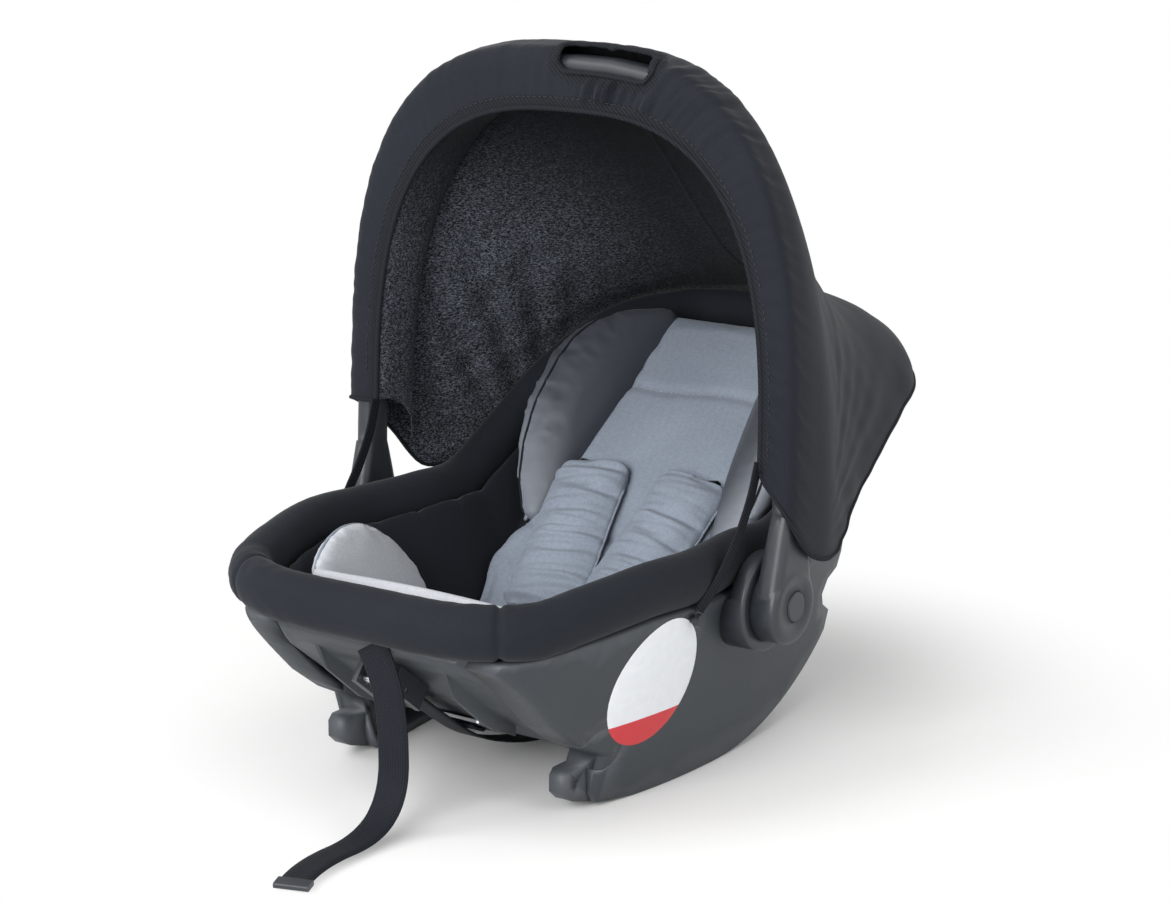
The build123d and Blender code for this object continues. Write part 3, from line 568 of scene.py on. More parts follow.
def groove(pad, line, width, depth):
    # presses a sewn line into the pad, along the pad's own normals
    near = np.array([tuple(p) for p in line])
    co = np.array([v.co for v in pad.data.vertices])
    normal = np.array([v.normal for v in pad.data.vertices])
    best = np.full(len(co), 1e9)
    for a, b in zip(near, near[1:]):
        run = b - a
        t = np.clip(((co - a) @ run) / max(run @ run, 1e-12), 0, 1)
        best = np.minimum(best, np.linalg.norm(co - (a + t[:, None] * run), axis=1))
    press = depth * np.exp(-((best / width) ** 2))
    pad.data.vertices.foreach_set("co", (co - normal * press[:, None]).astype(np.float32).ravel())
    pad.data.update()


def laid_on(pad, points, towards, lift):
    # drops points onto a pad's surface along a direction and lifts them a little clear of it
    tree = BVHTree.FromObject(pad, bpy.context.evaluated_depsgraph_get())
    line = []
    for p in points:
        hit, normal, face, far = tree.ray_cast(p - towards * 0.08, towards, 0.2)
        if hit is not None:
            line.append(hit - towards * lift)
    return line


def sewn(name, line, material, length=0.0032, space=0.0022, thick=0.0005):
    # a row of lock stitches: short thread beads laid end to end along a line
    spots, faces = [], []
    walk, target = 0.0, 0.0
    for a, b in zip(line, line[1:]):
        step = (b - a).length
        if step < 1e-7:
            continue
        ahead = (b - a) / step
        side = ahead.orthogonal().normalized()
        up = side.cross(ahead)
        while target <= walk + step:
            middle = a + ahead * (target - walk)
            base = len(spots)
            for along, size in ((-0.5, 0.35), (-0.3, 1.0), (0.3, 1.0), (0.5, 0.35)):
                for k in range(6):
                    turn = k * math.pi / 3
                    spots.append(middle + ahead * along * length
                                 + (side * math.cos(turn) + up * math.sin(turn)) * thick * size)
            bead = quads(4, 6) + [tuple(reversed(range(6))), tuple(range(18, 24))]
            faces += [tuple(base + n for n in face) for face in bead]
            target += length + space
        walk += step
    return add_mesh(name, spots, faces, material)


def piping(name, line, radius, material, sides=10):
    # cord sewn into a seam under its own strip of cloth
    spots = []
    for i, here in enumerate(line):
        ahead = (line[min(i + 1, len(line) - 1)] - line[max(i - 1, 0)]).normalized()
        side = ahead.cross(Vector((0.31, 0.2, 0.93))).normalized()
        up = side.cross(ahead)
        taper = 0.35 if i in (0, len(line) - 1) else 1.0
        for k in range(sides):
            turn = 2 * math.pi * k / sides
            spots.append(here + (side * math.cos(turn) + up * math.sin(turn)) * radius * taper)
    last = (len(line) - 1) * sides
    caps = [tuple(reversed(range(sides))), tuple(last + k for k in range(sides))]
    return add_mesh(name, spots, quads(len(line), sides) + caps, material)


# seat and back slope up from the bight, the line where they meet; sizes in millimetres
BIGHT_Y, BIGHT_Z = -25, 58
BACK_SLOPE, SEAT_SLOPE = math.radians(41.0), math.radians(29.5)


def on_back(x, s, v):
    # across, up the back from the bight, and out from its face
    rise, run = math.sin(BACK_SLOPE), math.cos(BACK_SLOPE)
    return spot(x, BIGHT_Y + s * run - v * rise, BIGHT_Z + s * rise + v * run)


def on_seat(x, s, v):
    # across, along the seat from the bight to the front, and up from its face
    rise, run = math.sin(SEAT_SLOPE), math.cos(SEAT_SLOPE)
    return spot(x, BIGHT_Y - s * run + v * rise, BIGHT_Z + s * rise + v * run)


bight = spot(0, BIGHT_Y, BIGHT_Z)
into_back = (on_back(0, 0, 0) - on_back(0, 0, 1)).normalized()
into_seat = (on_seat(0, 0, 0) - on_seat(0, 0, 1)).normalized()
up_back = (on_back(0, 1, 0) - on_back(0, 0, 0)).normalized()
along_seat = (on_seat(0, 1, 0) - on_seat(0, 0, 0)).normalized()
insert_knit = knit("mid_grey_brushed_knit", "#707884", "#929ba8", LOOP, 0.12, 1.0)


def twisted(name, low, high, roughness):
    # sewing thread of twisted polyester; its turns, about 0.4 mm, are drawn at 1 mm so that they show
    yarn, skin = finish_named(name)
    place = fit(yarn, "ShaderNodeTexCoord")
    turns = fit(yarn, "ShaderNodeTexWave", {"Scale": 300.0, "Distortion": 1.0}, {"Vector": place.outputs["Object"]})
    tone = fit(yarn, "ShaderNodeMix", {"A": srgb(low), "B": srgb(high)}, {"Factor": turns.outputs["Fac"]},
               data_type="RGBA")
    yarn.node_tree.links.new(tone.outputs["Result"], skin.inputs["Base Color"])
    skin.inputs["Roughness"].default_value = roughness
    return yarn


thread = twisted("grey_polyester_thread", "#767a81", "#a2a6ad", 0.55)


def ease(value, low, high):
    # 0 below the low value, 1 above the high one and smooth between them
    t = min(1.0, max(0.0, (value - low) / (high - low)))
    return t * t * (3 - 2 * t)


def spread_out(pad, along, wider, lift):
    # lets a pad out sideways where it is free of the wings, with its edges climbing the side of the hollow
    up_axis = Vector((0, 0, 1)) - along * along.z
    for v in pad.data.vertices:
        free = 1 - ease((v.co - bight).dot(along), 0.09, 0.175)
        v.co.x *= 1 + wider * free
        v.co += up_axis * (lift * free * ease(abs(v.co.x), 0.078, 0.116))
    pad.data.update()


back_cushion = stuffed("back_pad", "back_cushion", insert_knit, 0.006, start=0.0008)
spread_out(back_cushion, up_back, 0.17, 0.014)
# a wavy row of stitches below the head end and one at the waist
for number, s_at, reach in ((1, 290, 82), (2, 130, 104)):
    rough = [on_back(x, s_at + 2.5 * math.sin(x / 21), 0) for x in np.linspace(-reach, reach, 60)]
    groove(back_cushion, laid_on(back_cushion, rough, into_back, 0.0), 0.0045, 0.0028)
    row = sewn("back_stitch_row_%d" % number, laid_on(back_cushion, rough, into_back, 0.0002), thread)
    fixed_to_seat(row)
# a crease runs down and out from each shoulder strap
for side in (-1, 1):
    crease = [on_back(side * x, s, 0) for x, s in ((20, 132), (24, 95), (40, 60), (62, 40))]
    groove(back_cushion, laid_on(back_cushion, rounded(crease, 8), into_back, 0.0), 0.009, 0.003)
fixed_to_seat(back_cushion, "back_pad")

seat_cushion = stuffed("seat_pad", "seat_cushion", insert_knit, 0.006)
spread_out(seat_cushion, along_seat, 0.15, 0.014)
rough = [on_seat(x, 120, 0) for x in np.linspace(-98, 98, 60)]
groove(seat_cushion, laid_on(seat_cushion, rough, into_seat, 0.0), 0.0055, 0.0035)
row = sewn("seat_stitch_row", laid_on(seat_cushion, rough, into_seat, 0.0002), thread)
fixed_to_seat(row)
fixed_to_seat(seat_cushion, "seat_pad")


# Head wings: soft side bolsters in a darker satin knit, stuffed full, with a thin black piping along the front edge.
# Their inner edges are sewn down to the back pad. The satin face gleams broadly where it turns to the light.
satin = knit("satin_knit", "#7f858f", "#979da7", LOOP, 0.1, 0.35)
satin_skin = satin.node_tree.nodes["Principled BSDF"]
satin_skin.inputs["Roughness"].default_value = 0.5
satin_skin.inputs["Specular IOR Level"].default_value = 0.4
# painted shade: the cloth is painted darker from the free edge to the seam and the crown, where the canopy shades the
# wing
dyed = satin_skin.inputs["Base Color"].links[0].from_socket
wing_shade_at = fit(satin, "ShaderNodeTexCoord")
either = fit(satin, "ShaderNodeVectorMath", links={0: wing_shade_at.outputs["Object"]}, operation="ABSOLUTE")
risen = fit(satin, "ShaderNodeVectorMath", {1: (-2.2, 0.755, 0.656)}, {0: either.outputs["Vector"]},
            operation="DOT_PRODUCT")
wing_shade_weight = fit(satin, "ShaderNodeMapRange", {"From Min": -0.15, "From Max": 0.0, "To Max": 0.88},
                {"Value": risen.outputs["Value"]}, interpolation_type="SMOOTHSTEP")
# the dark colour of the painted shade, laid over the knit's own colour
wing_painted_shade = fit(satin, "ShaderNodeMix", {"B": srgb("#2a2d34")}, {"Factor": wing_shade_weight.outputs[0], "A": dyed},
              data_type="RGBA")
satin.node_tree.links.new(wing_painted_shade.outputs["Result"], satin_skin.inputs["Base Color"])


def bolster_seam(s):
    # how far out the seam with the back pad lies, at a height up the back
    return 75.6 + (378 - s) * 0.1065


# points along the front edge: across, up the back and out from it
wing_rim = [(114, 136, 2), (124, 160, 13), (130, 190, 25), (131, 220, 35), (128, 260, 43), (125, 292, 47),
            (119, 318, 43), (111, 340, 35), (101, 358, 22), (90, 373, 9)]
for side, end in ((1, "left"), (-1, "right")):
    wing = stuffed("head_wing_" + end, "head_bolster_" + end, satin, 0.006, press=5.0, voxel=0.004, start=-0.0032,
                   soften=12)
    # the inner edge is drawn down to the seam with the back pad
    for v in wing.data.vertices:
        ahead, up = v.co.y * 1000 + AXLE_AHEAD - BIGHT_Y, v.co.z * 1000 - BIGHT_Z
        s_at = ahead * math.cos(BACK_SLOPE) + up * math.sin(BACK_SLOPE)
        off_seam = abs(v.co.x) * 1000 - bolster_seam(s_at)
        v.co.x -= side * 0.017 * (1 - ease(off_seam, 0, 42))
    wing.data.update()
    fixed_to_seat(wing, "head_wing_" + end)
    tree = BVHTree.FromObject(wing, bpy.context.evaluated_depsgraph_get())
    edge_line = rounded([on_back(side * (x - 8), s, v + 3) for x, s, v in wing_rim], 10)
    hem = [tree.find_nearest(p)[0] for p in edge_line]
    met = [tree.find_nearest(p) for p in relaxed(hem, 14)]
    trim = piping("bolster_piping_" + end, relaxed([m[0] + m[1] * 0.0005 for m in met], 4), 0.0010, jersey)
    fixed_to_seat(trim)
    joined = [on_back(side * bolster_seam(s), s, -1.2) for s in np.linspace(377, 136, 50)]
    fixed_to_seat(piping("bolster_seam_" + end, joined, 0.0027, satin))


# Leg wings and the front band: pale grey brushed knit, stuffed thin, with a piped edge on the wings.
# The band closes the front of the insert and is sewn to both wings.
pale_knit = knit("pale_grey_brushed_knit", "#b0b3b9", "#d0d3d8", LOOP, 0.12, 1.0)
# points along a wing's edge: along the seat and up the wing, which leans outwards
leg_rim = [(48, 10), (62, 44), (98, 62), (132, 63), (166, 42), (186, 4)]
WING_LEAN = math.radians(20)
WING_BACK, WING_OUT = 48, 97
for side, end in ((1, "left"), (-1, "right")):
    wing = stuffed("leg_wing_" + end, "leg_bolster_" + end, pale_knit, 0.005, press=4.0, voxel=0.004, start=-0.001,
                   soften=6)
    # the right wing stands up and is let out to the front band; the left one is pressed down behind the rim
    let_out, pressed = (0.19, 0.0) if side < 0 else (0.0, 0.16)
    for v in wing.data.vertices:
        v.co += along_seat * (((v.co - bight).dot(along_seat) - WING_BACK / 1000) * let_out)
        v.co += into_seat * (pressed * max(0.0, -(v.co - bight).dot(into_seat)))
    wing.data.update()
    fixed_to_seat(wing, "leg_wing_" + end)
    tree = BVHTree.FromObject(wing, bpy.context.evaluated_depsgraph_get())
    hem = []
    for p in rounded([Vector((a, b, 0)) for a, b in leg_rim], 10):
        out, up = WING_OUT + p.y * math.sin(WING_LEAN), p.y * math.cos(WING_LEAN) + 3.5
        hit = tree.find_nearest(on_seat(side * out, WING_BACK + (p.x - WING_BACK) * (1 + let_out), up))
        hem.append(hit[0] + hit[1] * 0.0003)
    fixed_to_seat(piping("leg_piping_" + end, relaxed(hem, 8), 0.0014, insert_knit))

band = stuffed("front_band", "front_band_cushion", pale_knit, 0.004, press=3.0, voxel=0.004, start=0.001)
fixed_to_seat(band, "front_band")


# Shoulder pads: quilted sleeves of the grey knit closed round the straps, with a piped seam along both edges.
# They slide on the webbing, so that the cloth lies in small creases across them.
SLOT_OUT, SLOT_UP, SPLAY = 52, 200, 0.13
SLEEVE_END = 154


def down_strap(side, run, out, off=0):
    # along a shoulder strap from its slot in the back pad, out from the pad's face, and off the strap's middle
    return on_back(side * (SLOT_OUT - SPLAY * run + off), SLOT_UP - run, out)


for side, end in ((1, "left"), (-1, "right")):
    sleeve = stuffed("shoulder_pad_" + end, "shoulder_sleeve_" + end, insert_knit, 0.003, press=3.0, voxel=0.0028,
                     start=0.001)
    co = np.array([v.co for v in sleeve.data.vertices])
    lower_end = np.array(down_strap(side, SLEEVE_END, 10.5))
    along = np.array(on_back(side * SPLAY, 1, 0) - on_back(0, 0, 0))
    along /= np.linalg.norm(along)
    outward = -np.array(into_back)
    over = np.cross(along, outward)
    parts = [(co - lower_end) @ axis for axis in (along, over, outward)]
    # drawn up to the slot and a little wider than the cut, as the wadding fills it
    parts[0] = parts[0] * 1.17
    parts[1] = parts[1] * (1.50 - 0.14 * np.clip(parts[0] / 0.15, 0, 1))
    parts[2] = parts[2] * 1.16
    # rounded ends, and a crown that falls off to the sewn edges
    top_end, half_wide, corner = parts[0].max(), np.abs(parts[1]).max(), 0.014
    off_end = np.clip(np.minimum(parts[0] - parts[0].min(), top_end - parts[0]) / corner, 0, 1)
    fullness = np.sqrt(1 - (1 - off_end) ** 2)
    parts[1] = parts[1] * (1 - corner / half_wide * (1 - fullness))
    share = np.clip(np.abs(parts[1]) / half_wide, 0, 1)
    parts[2] = parts[2] * (1.12 - 0.5 * share ** 3) * (0.72 + 0.28 * fullness)
    # creases about 6 mm apart run across, deepest at the sewn edges
    pucker = np.array([noise.noise(Vector((s * 170 + side * 3, c * 22, 0.7))) for s, c in zip(parts[0], parts[1])])
    pucker = np.clip(pucker, -0.7, 0.7)
    edge_pull = np.clip(np.abs(parts[1]) / 0.038, 0, 1) ** 2
    parts[2] = parts[2] * (1 + (0.42 + 0.3 * edge_pull) * pucker)
    parts[1] = parts[1] * (1 + 0.035 * edge_pull * pucker)
    co = lower_end + sum(np.outer(part, axis) for part, axis in zip(parts, (along, over, outward)))
    sleeve.data.vertices.foreach_set("co", co.astype(np.float32).ravel())
    sleeve.data.update()
    fixed_to_seat(sleeve, "shoulder_pad_" + end)
    tree = BVHTree.FromObject(sleeve, bpy.context.evaluated_depsgraph_get())
    for edge_name, off in (("outer", 44), ("inner", -44)):
        met = [tree.find_nearest(down_strap(side, run, 11, off)) for run in np.linspace(22, 138, 44)]
        hem = relaxed([m[0] + m[1] * 0.0002 for m in met], 6)
        fixed_to_seat(piping("sleeve_%s_seam_%s" % (edge_name, end), hem, 0.0011, insert_knit))


# Harness straps: the same ribbed webbing, threaded from the yoke behind the shell through the back pad,
# down inside the sleeves to the tongues, across the lap, between the legs and under the shell to the adjuster.
HARNESS_WIDE, HARNESS_THICK = 0.036, 0.0018
back_wide = on_back(1, SPLAY, 0) - on_back(0, 0, 0)
for side, end in ((1, "left"), (-1, "right")):
    threaded = [(52, -104), (20, -106), (6, -106.8), (1.2, -105), (0, -100), (0, -50), (0, 0), (0, 5),
                (1.3, 9.2), (6, 10.5), (20, 10.5), (60, 10.5), (110, 10.5), (150, 10.5), (186, 10.5)]
    line = rounded([down_strap(side, run, out) for run, out in threaded], 5)
    wide = (back_wide.x, side * back_wide.y, side * back_wide.z)
    shoulder = strip("shoulder_webbing_" + end, line, wide, HARNESS_WIDE, HARNESS_THICK, webbing)
    fixed_to_seat(shoulder, "shoulder_strap_" + end)
    line = rounded([on_seat(side * x, 24, q) for x, q in
                    ((33.4, 14.5), (48, 12.1), (64, 9.3), (78, 7), (90, 6.1), (110, 6), (135, 6))], 5)
    lap = strip("lap_webbing_" + end, line, along_seat, HARNESS_WIDE, HARNESS_THICK, webbing)
    fixed_to_seat(lap, "lap_strap_" + end)
line = rounded([on_seat(0, p, q) for p, q in
                ((66, 12), (76, 12), (85, 11.9), (88.8, 11), (90, 8), (90, 0), (90, -35), (90, -66),
                 (90.8, -70), (94, -71.4), (107, -71.5))], 5)
crotch = strip("crotch_webbing", line, (1, 0, 0), HARNESS_WIDE, HARNESS_THICK, webbing)
fixed_to_seat(crotch, "crotch_strap")
line = rounded([spot(0, y, z - 0.5) for y, z in
                ((-250, 120), (-226, 101.5), (-200, 80), (-144, 39), (-100, 20), (-60, 10), (-25, 7.5), (10, 9),
                 (65, 27.5), (130, 60.5), (156, 73.4))], 8)
under = strip("under_seat_webbing", line, (1, 0, 0), TAIL_WIDE, HARNESS_THICK, webbing)
fixed_to_seat(under, "strap_run")


# The canopy: one sheet of black stretch weave pulled over the handle and back to the head of the shell.
# Its doubled front edge is bound with tape, a seam runs over the crown, and a bound slot lets the grip through.
# The weave is dull and even, with a bluish cast where it is stretched.
hood, hood_skin = finish_named("black_stretch_weave")
cloth_at = fit(hood, "ShaderNodeTexCoord")
# twill ribs are about 0.8 mm on the cloth; drawn at 2.2 mm, with fibres at 1.4 mm, so that they show
# the dye varies in clouds of about 140 mm
twill = fit(hood, "ShaderNodeTexWave", {"Scale": 143.0, "Distortion": 0.8, "Detail": 2.0},
            {"Vector": cloth_at.outputs["Object"]}, bands_direction="DIAGONAL")
fibre = fit(hood, "ShaderNodeTexNoise", {"Scale": 700.0, "Detail": 5.0, "Roughness": 0.7},
            {"Vector": cloth_at.outputs["Object"]})
patch = fit(hood, "ShaderNodeTexNoise", {"Scale": 7.0, "Detail": 4.0}, {"Vector": cloth_at.outputs["Object"]})
yarns = fit(hood, "ShaderNodeMath", {1: 0.22}, {0: twill.outputs["Fac"], 2: fibre.outputs["Fac"]},
            operation="MULTIPLY_ADD")
tint = fit(hood, "ShaderNodeMath", {1: 0.8}, {0: patch.outputs["Fac"], 2: yarns.outputs[0]},
           operation="MULTIPLY_ADD")
tint_in = fit(hood, "ShaderNodeMapRange", {"From Min": 0.6, "From Max": 1.4}, {"Value": tint.outputs[0]})
hood_tone = fit(hood, "ShaderNodeMix", {"A": srgb("#0d1016"), "B": srgb("#191e27")},
                {"Factor": tint_in.outputs[0]}, data_type="RGBA")
hood.node_tree.links.new(hood_tone.outputs["Result"], hood_skin.inputs["Base Color"])
hood_bump = fit(hood, "ShaderNodeBump", {"Strength": 0.3, "Distance": 0.0004}, {"Height": yarns.outputs[0]})
hood.node_tree.links.new(hood_bump.outputs["Normal"], hood_skin.inputs["Normal"])
hood_skin.inputs["Roughness"].default_value = 0.8
hood_skin.inputs["Sheen Weight"].default_value = 0.06
hood_skin.inputs["Specular IOR Level"].default_value = 0.22

# the inner face of the weave is the looped side: greyer, in short bright flecks of about 3 mm
inner, inner_skin = finish_named("black_stretch_weave_inside")
inner_at = fit(inner, "ShaderNodeTexCoord")
pile = fit(inner, "ShaderNodeMapping", {"Scale": (420.0, 420.0, 900.0), "Rotation": (0.5, 0.7, 0.4)},
           {"Vector": inner_at.outputs["Object"]})
fleck = fit(inner, "ShaderNodeTexNoise", {"Scale": 1.0, "Detail": 4.0, "Roughness": 0.75, "Distortion": 0.8},
            {"Vector": pile.outputs["Vector"]})
bright = fit(inner, "ShaderNodeMapRange", {"From Min": 0.46, "From Max": 0.65}, {"Value": fleck.outputs["Fac"]})
# painted shade: the flecks fade over the crown, above the handle, so that the top of the hood's inside reads darker
inside = fit(inner, "ShaderNodeSeparateXYZ", links={"Vector": inner_at.outputs["Object"]})
painted_crown_shade = fit(inner, "ShaderNodeMapRange", {"From Min": 0.36, "From Max": 0.5, "To Min": 1.0, "To Max": 0.12},
              {"Value": inside.outputs["Z"]}, interpolation_type="SMOOTHSTEP")
# painted light: the flecks show brightest on the right wall, which is lit more strongly inside the hood
painted_right_wall_light = fit(inner, "ShaderNodeMapRange", {"From Min": -0.17, "From Max": -0.02, "To Min": 1.0, "To Max": 0.14},
             {"Value": inside.outputs["X"]}, interpolation_type="SMOOTHSTEP")
# the painted light and shade together set how brightly the flecks show
painted_light_share = fit(inner, "ShaderNodeMath", links={0: painted_right_wall_light.outputs[0], 1: painted_crown_shade.outputs[0]}, operation="MULTIPLY")
flecks_in_painted_light = fit(inner, "ShaderNodeMath", links={0: bright.outputs[0], 1: painted_light_share.outputs[0]}, operation="MULTIPLY")
inner_tone = fit(inner, "ShaderNodeMix", {"A": srgb("#0a0c10"), "B": srgb("#7d838f")},
                 {"Factor": flecks_in_painted_light.outputs[0]}, data_type="RGBA")
inner.node_tree.links.new(inner_tone.outputs["Result"], inner_skin.inputs["Base Color"])
inner_bump = fit(inner, "ShaderNodeBump", {"Strength": 0.35, "Distance": 0.0006}, {"Height": fleck.outputs["Fac"]})
inner.node_tree.links.new(inner_bump.outputs["Normal"], inner_skin.inputs["Normal"])
inner_skin.inputs["Roughness"].default_value = 0.85
inner_skin.inputs["Sheen Weight"].default_value = 0.03
inner_skin.inputs["Specular IOR Level"].default_value = 0.2

# the arches lean back with the handle about its axle, less and less towards the rear
AXLE_UP = 144
LEAN = math.radians(2.3)


def arch(half, left_low, right_low, top, power, steps):
    # points over a hoop from the left hem to the right one: across, and up from the axle
    line = []
    for k in range(steps + 1):
        a = math.pi * k / steps
        c = math.cos(a)
        low = left_low if c > 0 else right_low
        rise = low - AXLE_UP + (top - low) * max(math.sin(a), 0.0) ** (2 / power)
        line.append((half * math.copysign(abs(c) ** (2 / power), c), rise))
    return line


def leaned(x, y, rise, tilt):
    return spot(x, y + rise * math.sin(LEAN * tilt), AXLE_UP + rise * math.cos(LEAN * tilt))


# station along the seat, tilt, half width, hem heights left and right, crown height, squareness of the arch
# (the cloth sits pulled round to the left, so its hem hangs lower there)
hood_rows = [
    (-16.0, 1.0, 191.0, 251, 258, 518.5, 2.8), (-18.2, 1.0, 196.0, 245, 258, 527.0, 2.8),
    (-19.3, 1.0, 205.0, 236, 258, 542.0, 2.9), (-18.6, 1.0, 214.0, 225, 258, 556.5, 3.0),
    (-14.0, 1.0, 220.5, 212, 257, 565.5, 3.0), (-4.0, 1.0, 222.8, 197, 253, 568.5, 3.0),
    (15.0, 1.0, 223.0, 182, 242, 569.0, 3.0), (44.0, 0.6, 221.0, 173, 218, 553.0, 2.75),
    (76.0, 0.25, 212.0, 174, 182, 525.0, 2.5), (110.0, 0.0, 202.0, 187, 182, 494.0, 2.28),
    (150.0, 0.0, 190.5, 202, 200, 454.0, 2.08), (190.0, 0.0, 180.5, 218, 218, 413.0, 1.95),
    (228.0, 0.0, 171.5, 232, 232, 379.0, 1.9), (265.0, 0.0, 163.5, 244, 244, 355.5, 1.9),
    (295.0, 0.0, 156.0, 252, 252, 341.5, 1.97), (320.0, 0.0, 146.0, 258, 258, 331.5, 2.05),
    (340.0, 0.0, 132.0, 262, 262, 323.5, 2.1), (356.0, 0.0, 114.0, 266, 266, 315.0, 2.2),
    (369.0, 0.0, 88.0, 270, 270, 305.0, 2.3), (378.0, 0.0, 56.0, 272, 272, 293.0, 2.3),
    (382.5, 0.0, 24.0, 273, 273, 275.0, 2.3),
]
COLUMNS, STEPS, ARC_STEPS = 408, 6, 480
finer = rounded([Vector(row[:3]) for row in hood_rows], STEPS)
finer_up = rounded([Vector(row[3:]) for row in hood_rows], STEPS)
spots = []
for (y, tilt, half), heights in zip(finer, finer_up):
    arc = arch(half, *heights, ARC_STEPS)
    run = [0.0]
    for p, q in zip(arc, arc[1:]):
        run.append(run[-1] + math.hypot(q[0] - p[0], q[1] - p[1]))
    # columns stand evenly over the cloth
    shares = np.linspace(0, run[-1], COLUMNS + 1)
    xs = np.interp(shares, run, [p[0] for p in arc])
    rises = np.interp(shares, run, [p[1] for p in arc])
    spots += [leaned(x, y, rise, tilt) for x, rise in zip(xs, rises)]
wide_row = COLUMNS + 1
ROWS = len(finer)
faces = [(a, d, c, b) for a, b, c, d in quads(ROWS, wide_row, columns_meet=False)]
canopy = add_mesh("canopy_sheet", spots, faces, hood, inner)

# how far each row lies behind the mouth, measured over the crown
crown = COLUMNS // 2
behind = [0.0]
for i in range(1, ROWS):
    behind.append(behind[-1] + (spots[i * wide_row + crown] - spots[(i - 1) * wide_row + crown]).length)

# wrinkles: soft pulls fanning from the hubs, short gathers beside the crown seam and small puckers along the lip
normals = [v.normal.copy() for v in canopy.data.vertices]
TOP_ROW = 8 * STEPS
facing = 1.0 if normals[TOP_ROW * wide_row + crown].z > 0 else -1.0
hub_spot = spot(0, 10, 190)
for i in range(ROWS):
    y = finer[i].x
    for k in range(COLUMNS + 1):
        v = canopy.data.vertices[i * wide_row + k]
        share = k / COLUMNS
        height = min(share, 1 - share) * 2
        loose = ease(y, 34, 100) * (1 - ease(y, 330, 370))
        fan = math.atan2(v.co.z - hub_spot.z, v.co.y - hub_spot.y)
        reach = math.hypot(v.co.z - hub_spot.z, v.co.y - hub_spot.y)
        side_of = 1 if v.co.x > 0 else -1
        pull = noise.noise(Vector((fan * 9 + side_of * 4, reach * 5, 9.1))) * (1 - ease(height, 0.35, 0.95))
        wave = noise.noise(Vector((v.co.x * 6, v.co.y * 8 + v.co.z * 5, 3.3)))
        move = loose * (0.0016 * wave + 0.0020 * pull)
        drape = noise.noise(Vector((v.co.y * 34 + v.co.z * 30, v.co.x * 8, 5.5)))
        move += 0.0014 * drape * loose * (1 - ease(height, 0.0, 0.28))
        lip = ease(behind[i], 0.004, 0.016) * (1 - ease(behind[i], 0.055, 0.10))
        # millimetres over the cloth from the crown seam, gathered into it on its left
        out = (crown - k) * 1000 / COLUMNS - 8
        beat = noise.noise(Vector((out * 0.11, behind[i] * 12, 1.7)))
        fold = noise.noise(Vector((out * 0.14 + 0.8 * beat, behind[i] * 8, 4.4)))
        crimp = noise.noise(Vector((out * 0.3, behind[i] * 15, 8.4)))
        gather = ease(out, -4, 6) * math.exp(-((out / 105) ** 2))
        gather *= 1 - math.exp(-(((out - 28) / 56) ** 4)) * ease(behind[i], 0.022, 0.032)
        move += lip * (0.0009 * beat + gather * (0.0085 * fold + 0.0035 * crimp))
        # slack ridges run down and back inside the right wall
        slack = ease(height, 0.02, 0.14) * (1 - ease(height, 0.38, 0.62))
        slack *= ease(y, 45, 80) * (1 - ease(y, 190, 240))
        ridge = math.sin(170 * (0.87 * v.co.y + 0.49 * v.co.z) + 1.1 * noise.noise(v.co * 6))
        move += 0.0024 * slack * ridge * (1 if v.co.x < 0 else 0.1)
        move += 0.0004 * noise.noise(v.co * 40) * loose
        seam = math.exp(-((out / 2.4) ** 2)) * ease(behind[i], 0.004, 0.012)
        move -= 0.0018 * seam
        v.co += normals[i * wide_row + k] * move * facing
canopy.data.update()
if canopy.data.polygons[TOP_ROW * COLUMNS + crown].normal.z < 0:
    canopy.data.flip_normals()


# the slot is set out on the cloth itself: across, and back from the mouth over the crown
SLOT_X, SLOT_MID = 0.036, 0.049
SLOT_HALF, SLOT_DEEP, SLOT_CORNER = 0.045, 0.0175, 0.013
MOUTH_TAPE, SLOT_TAPE = 0.0105, 0.0085


def off_slot(across, back):
    # distance from the slot's rounded edge, negative inside it
    px, py = abs(across) - SLOT_HALF + SLOT_CORNER, abs(back) - SLOT_DEEP + SLOT_CORNER
    return math.hypot(max(px, 0), max(py, 0)) + min(max(px, py), 0) - SLOT_CORNER


body = bmesh.new()
body.from_mesh(canopy.data)
body.verts.ensure_lookup_table()
chart = {}
for i in range(ROWS):
    for k in range(COLUMNS + 1):
        v = body.verts[i * wide_row + k]
        if abs(v.co.x - SLOT_X) < 0.08 and v.co.z > 0.48:
            after, before = (body.verts[row * wide_row + k].co for row in (min(i + 1, ROWS - 1), max(i - 1, 0)))
            chart[v] = (v.co.x - SLOT_X, behind[i] - SLOT_MID, (after - before).normalized())
# a folded tape, the third material, covers the mouth's edge, and another is sewn round the slot
gone = []
for f in body.faces:
    if behind[f.index // COLUMNS] < MOUTH_TAPE:
        f.material_index = 2
    if all(v in chart for v in f.verts):
        off = off_slot(*(sum(chart[v][n] for v in f.verts) / len(f.verts) for n in (0, 1)))
        if off < 0:
            gone.append(f)
        elif off < SLOT_TAPE:
            f.material_index = 2
bmesh.ops.delete(body, geom=gone, context="FACES")
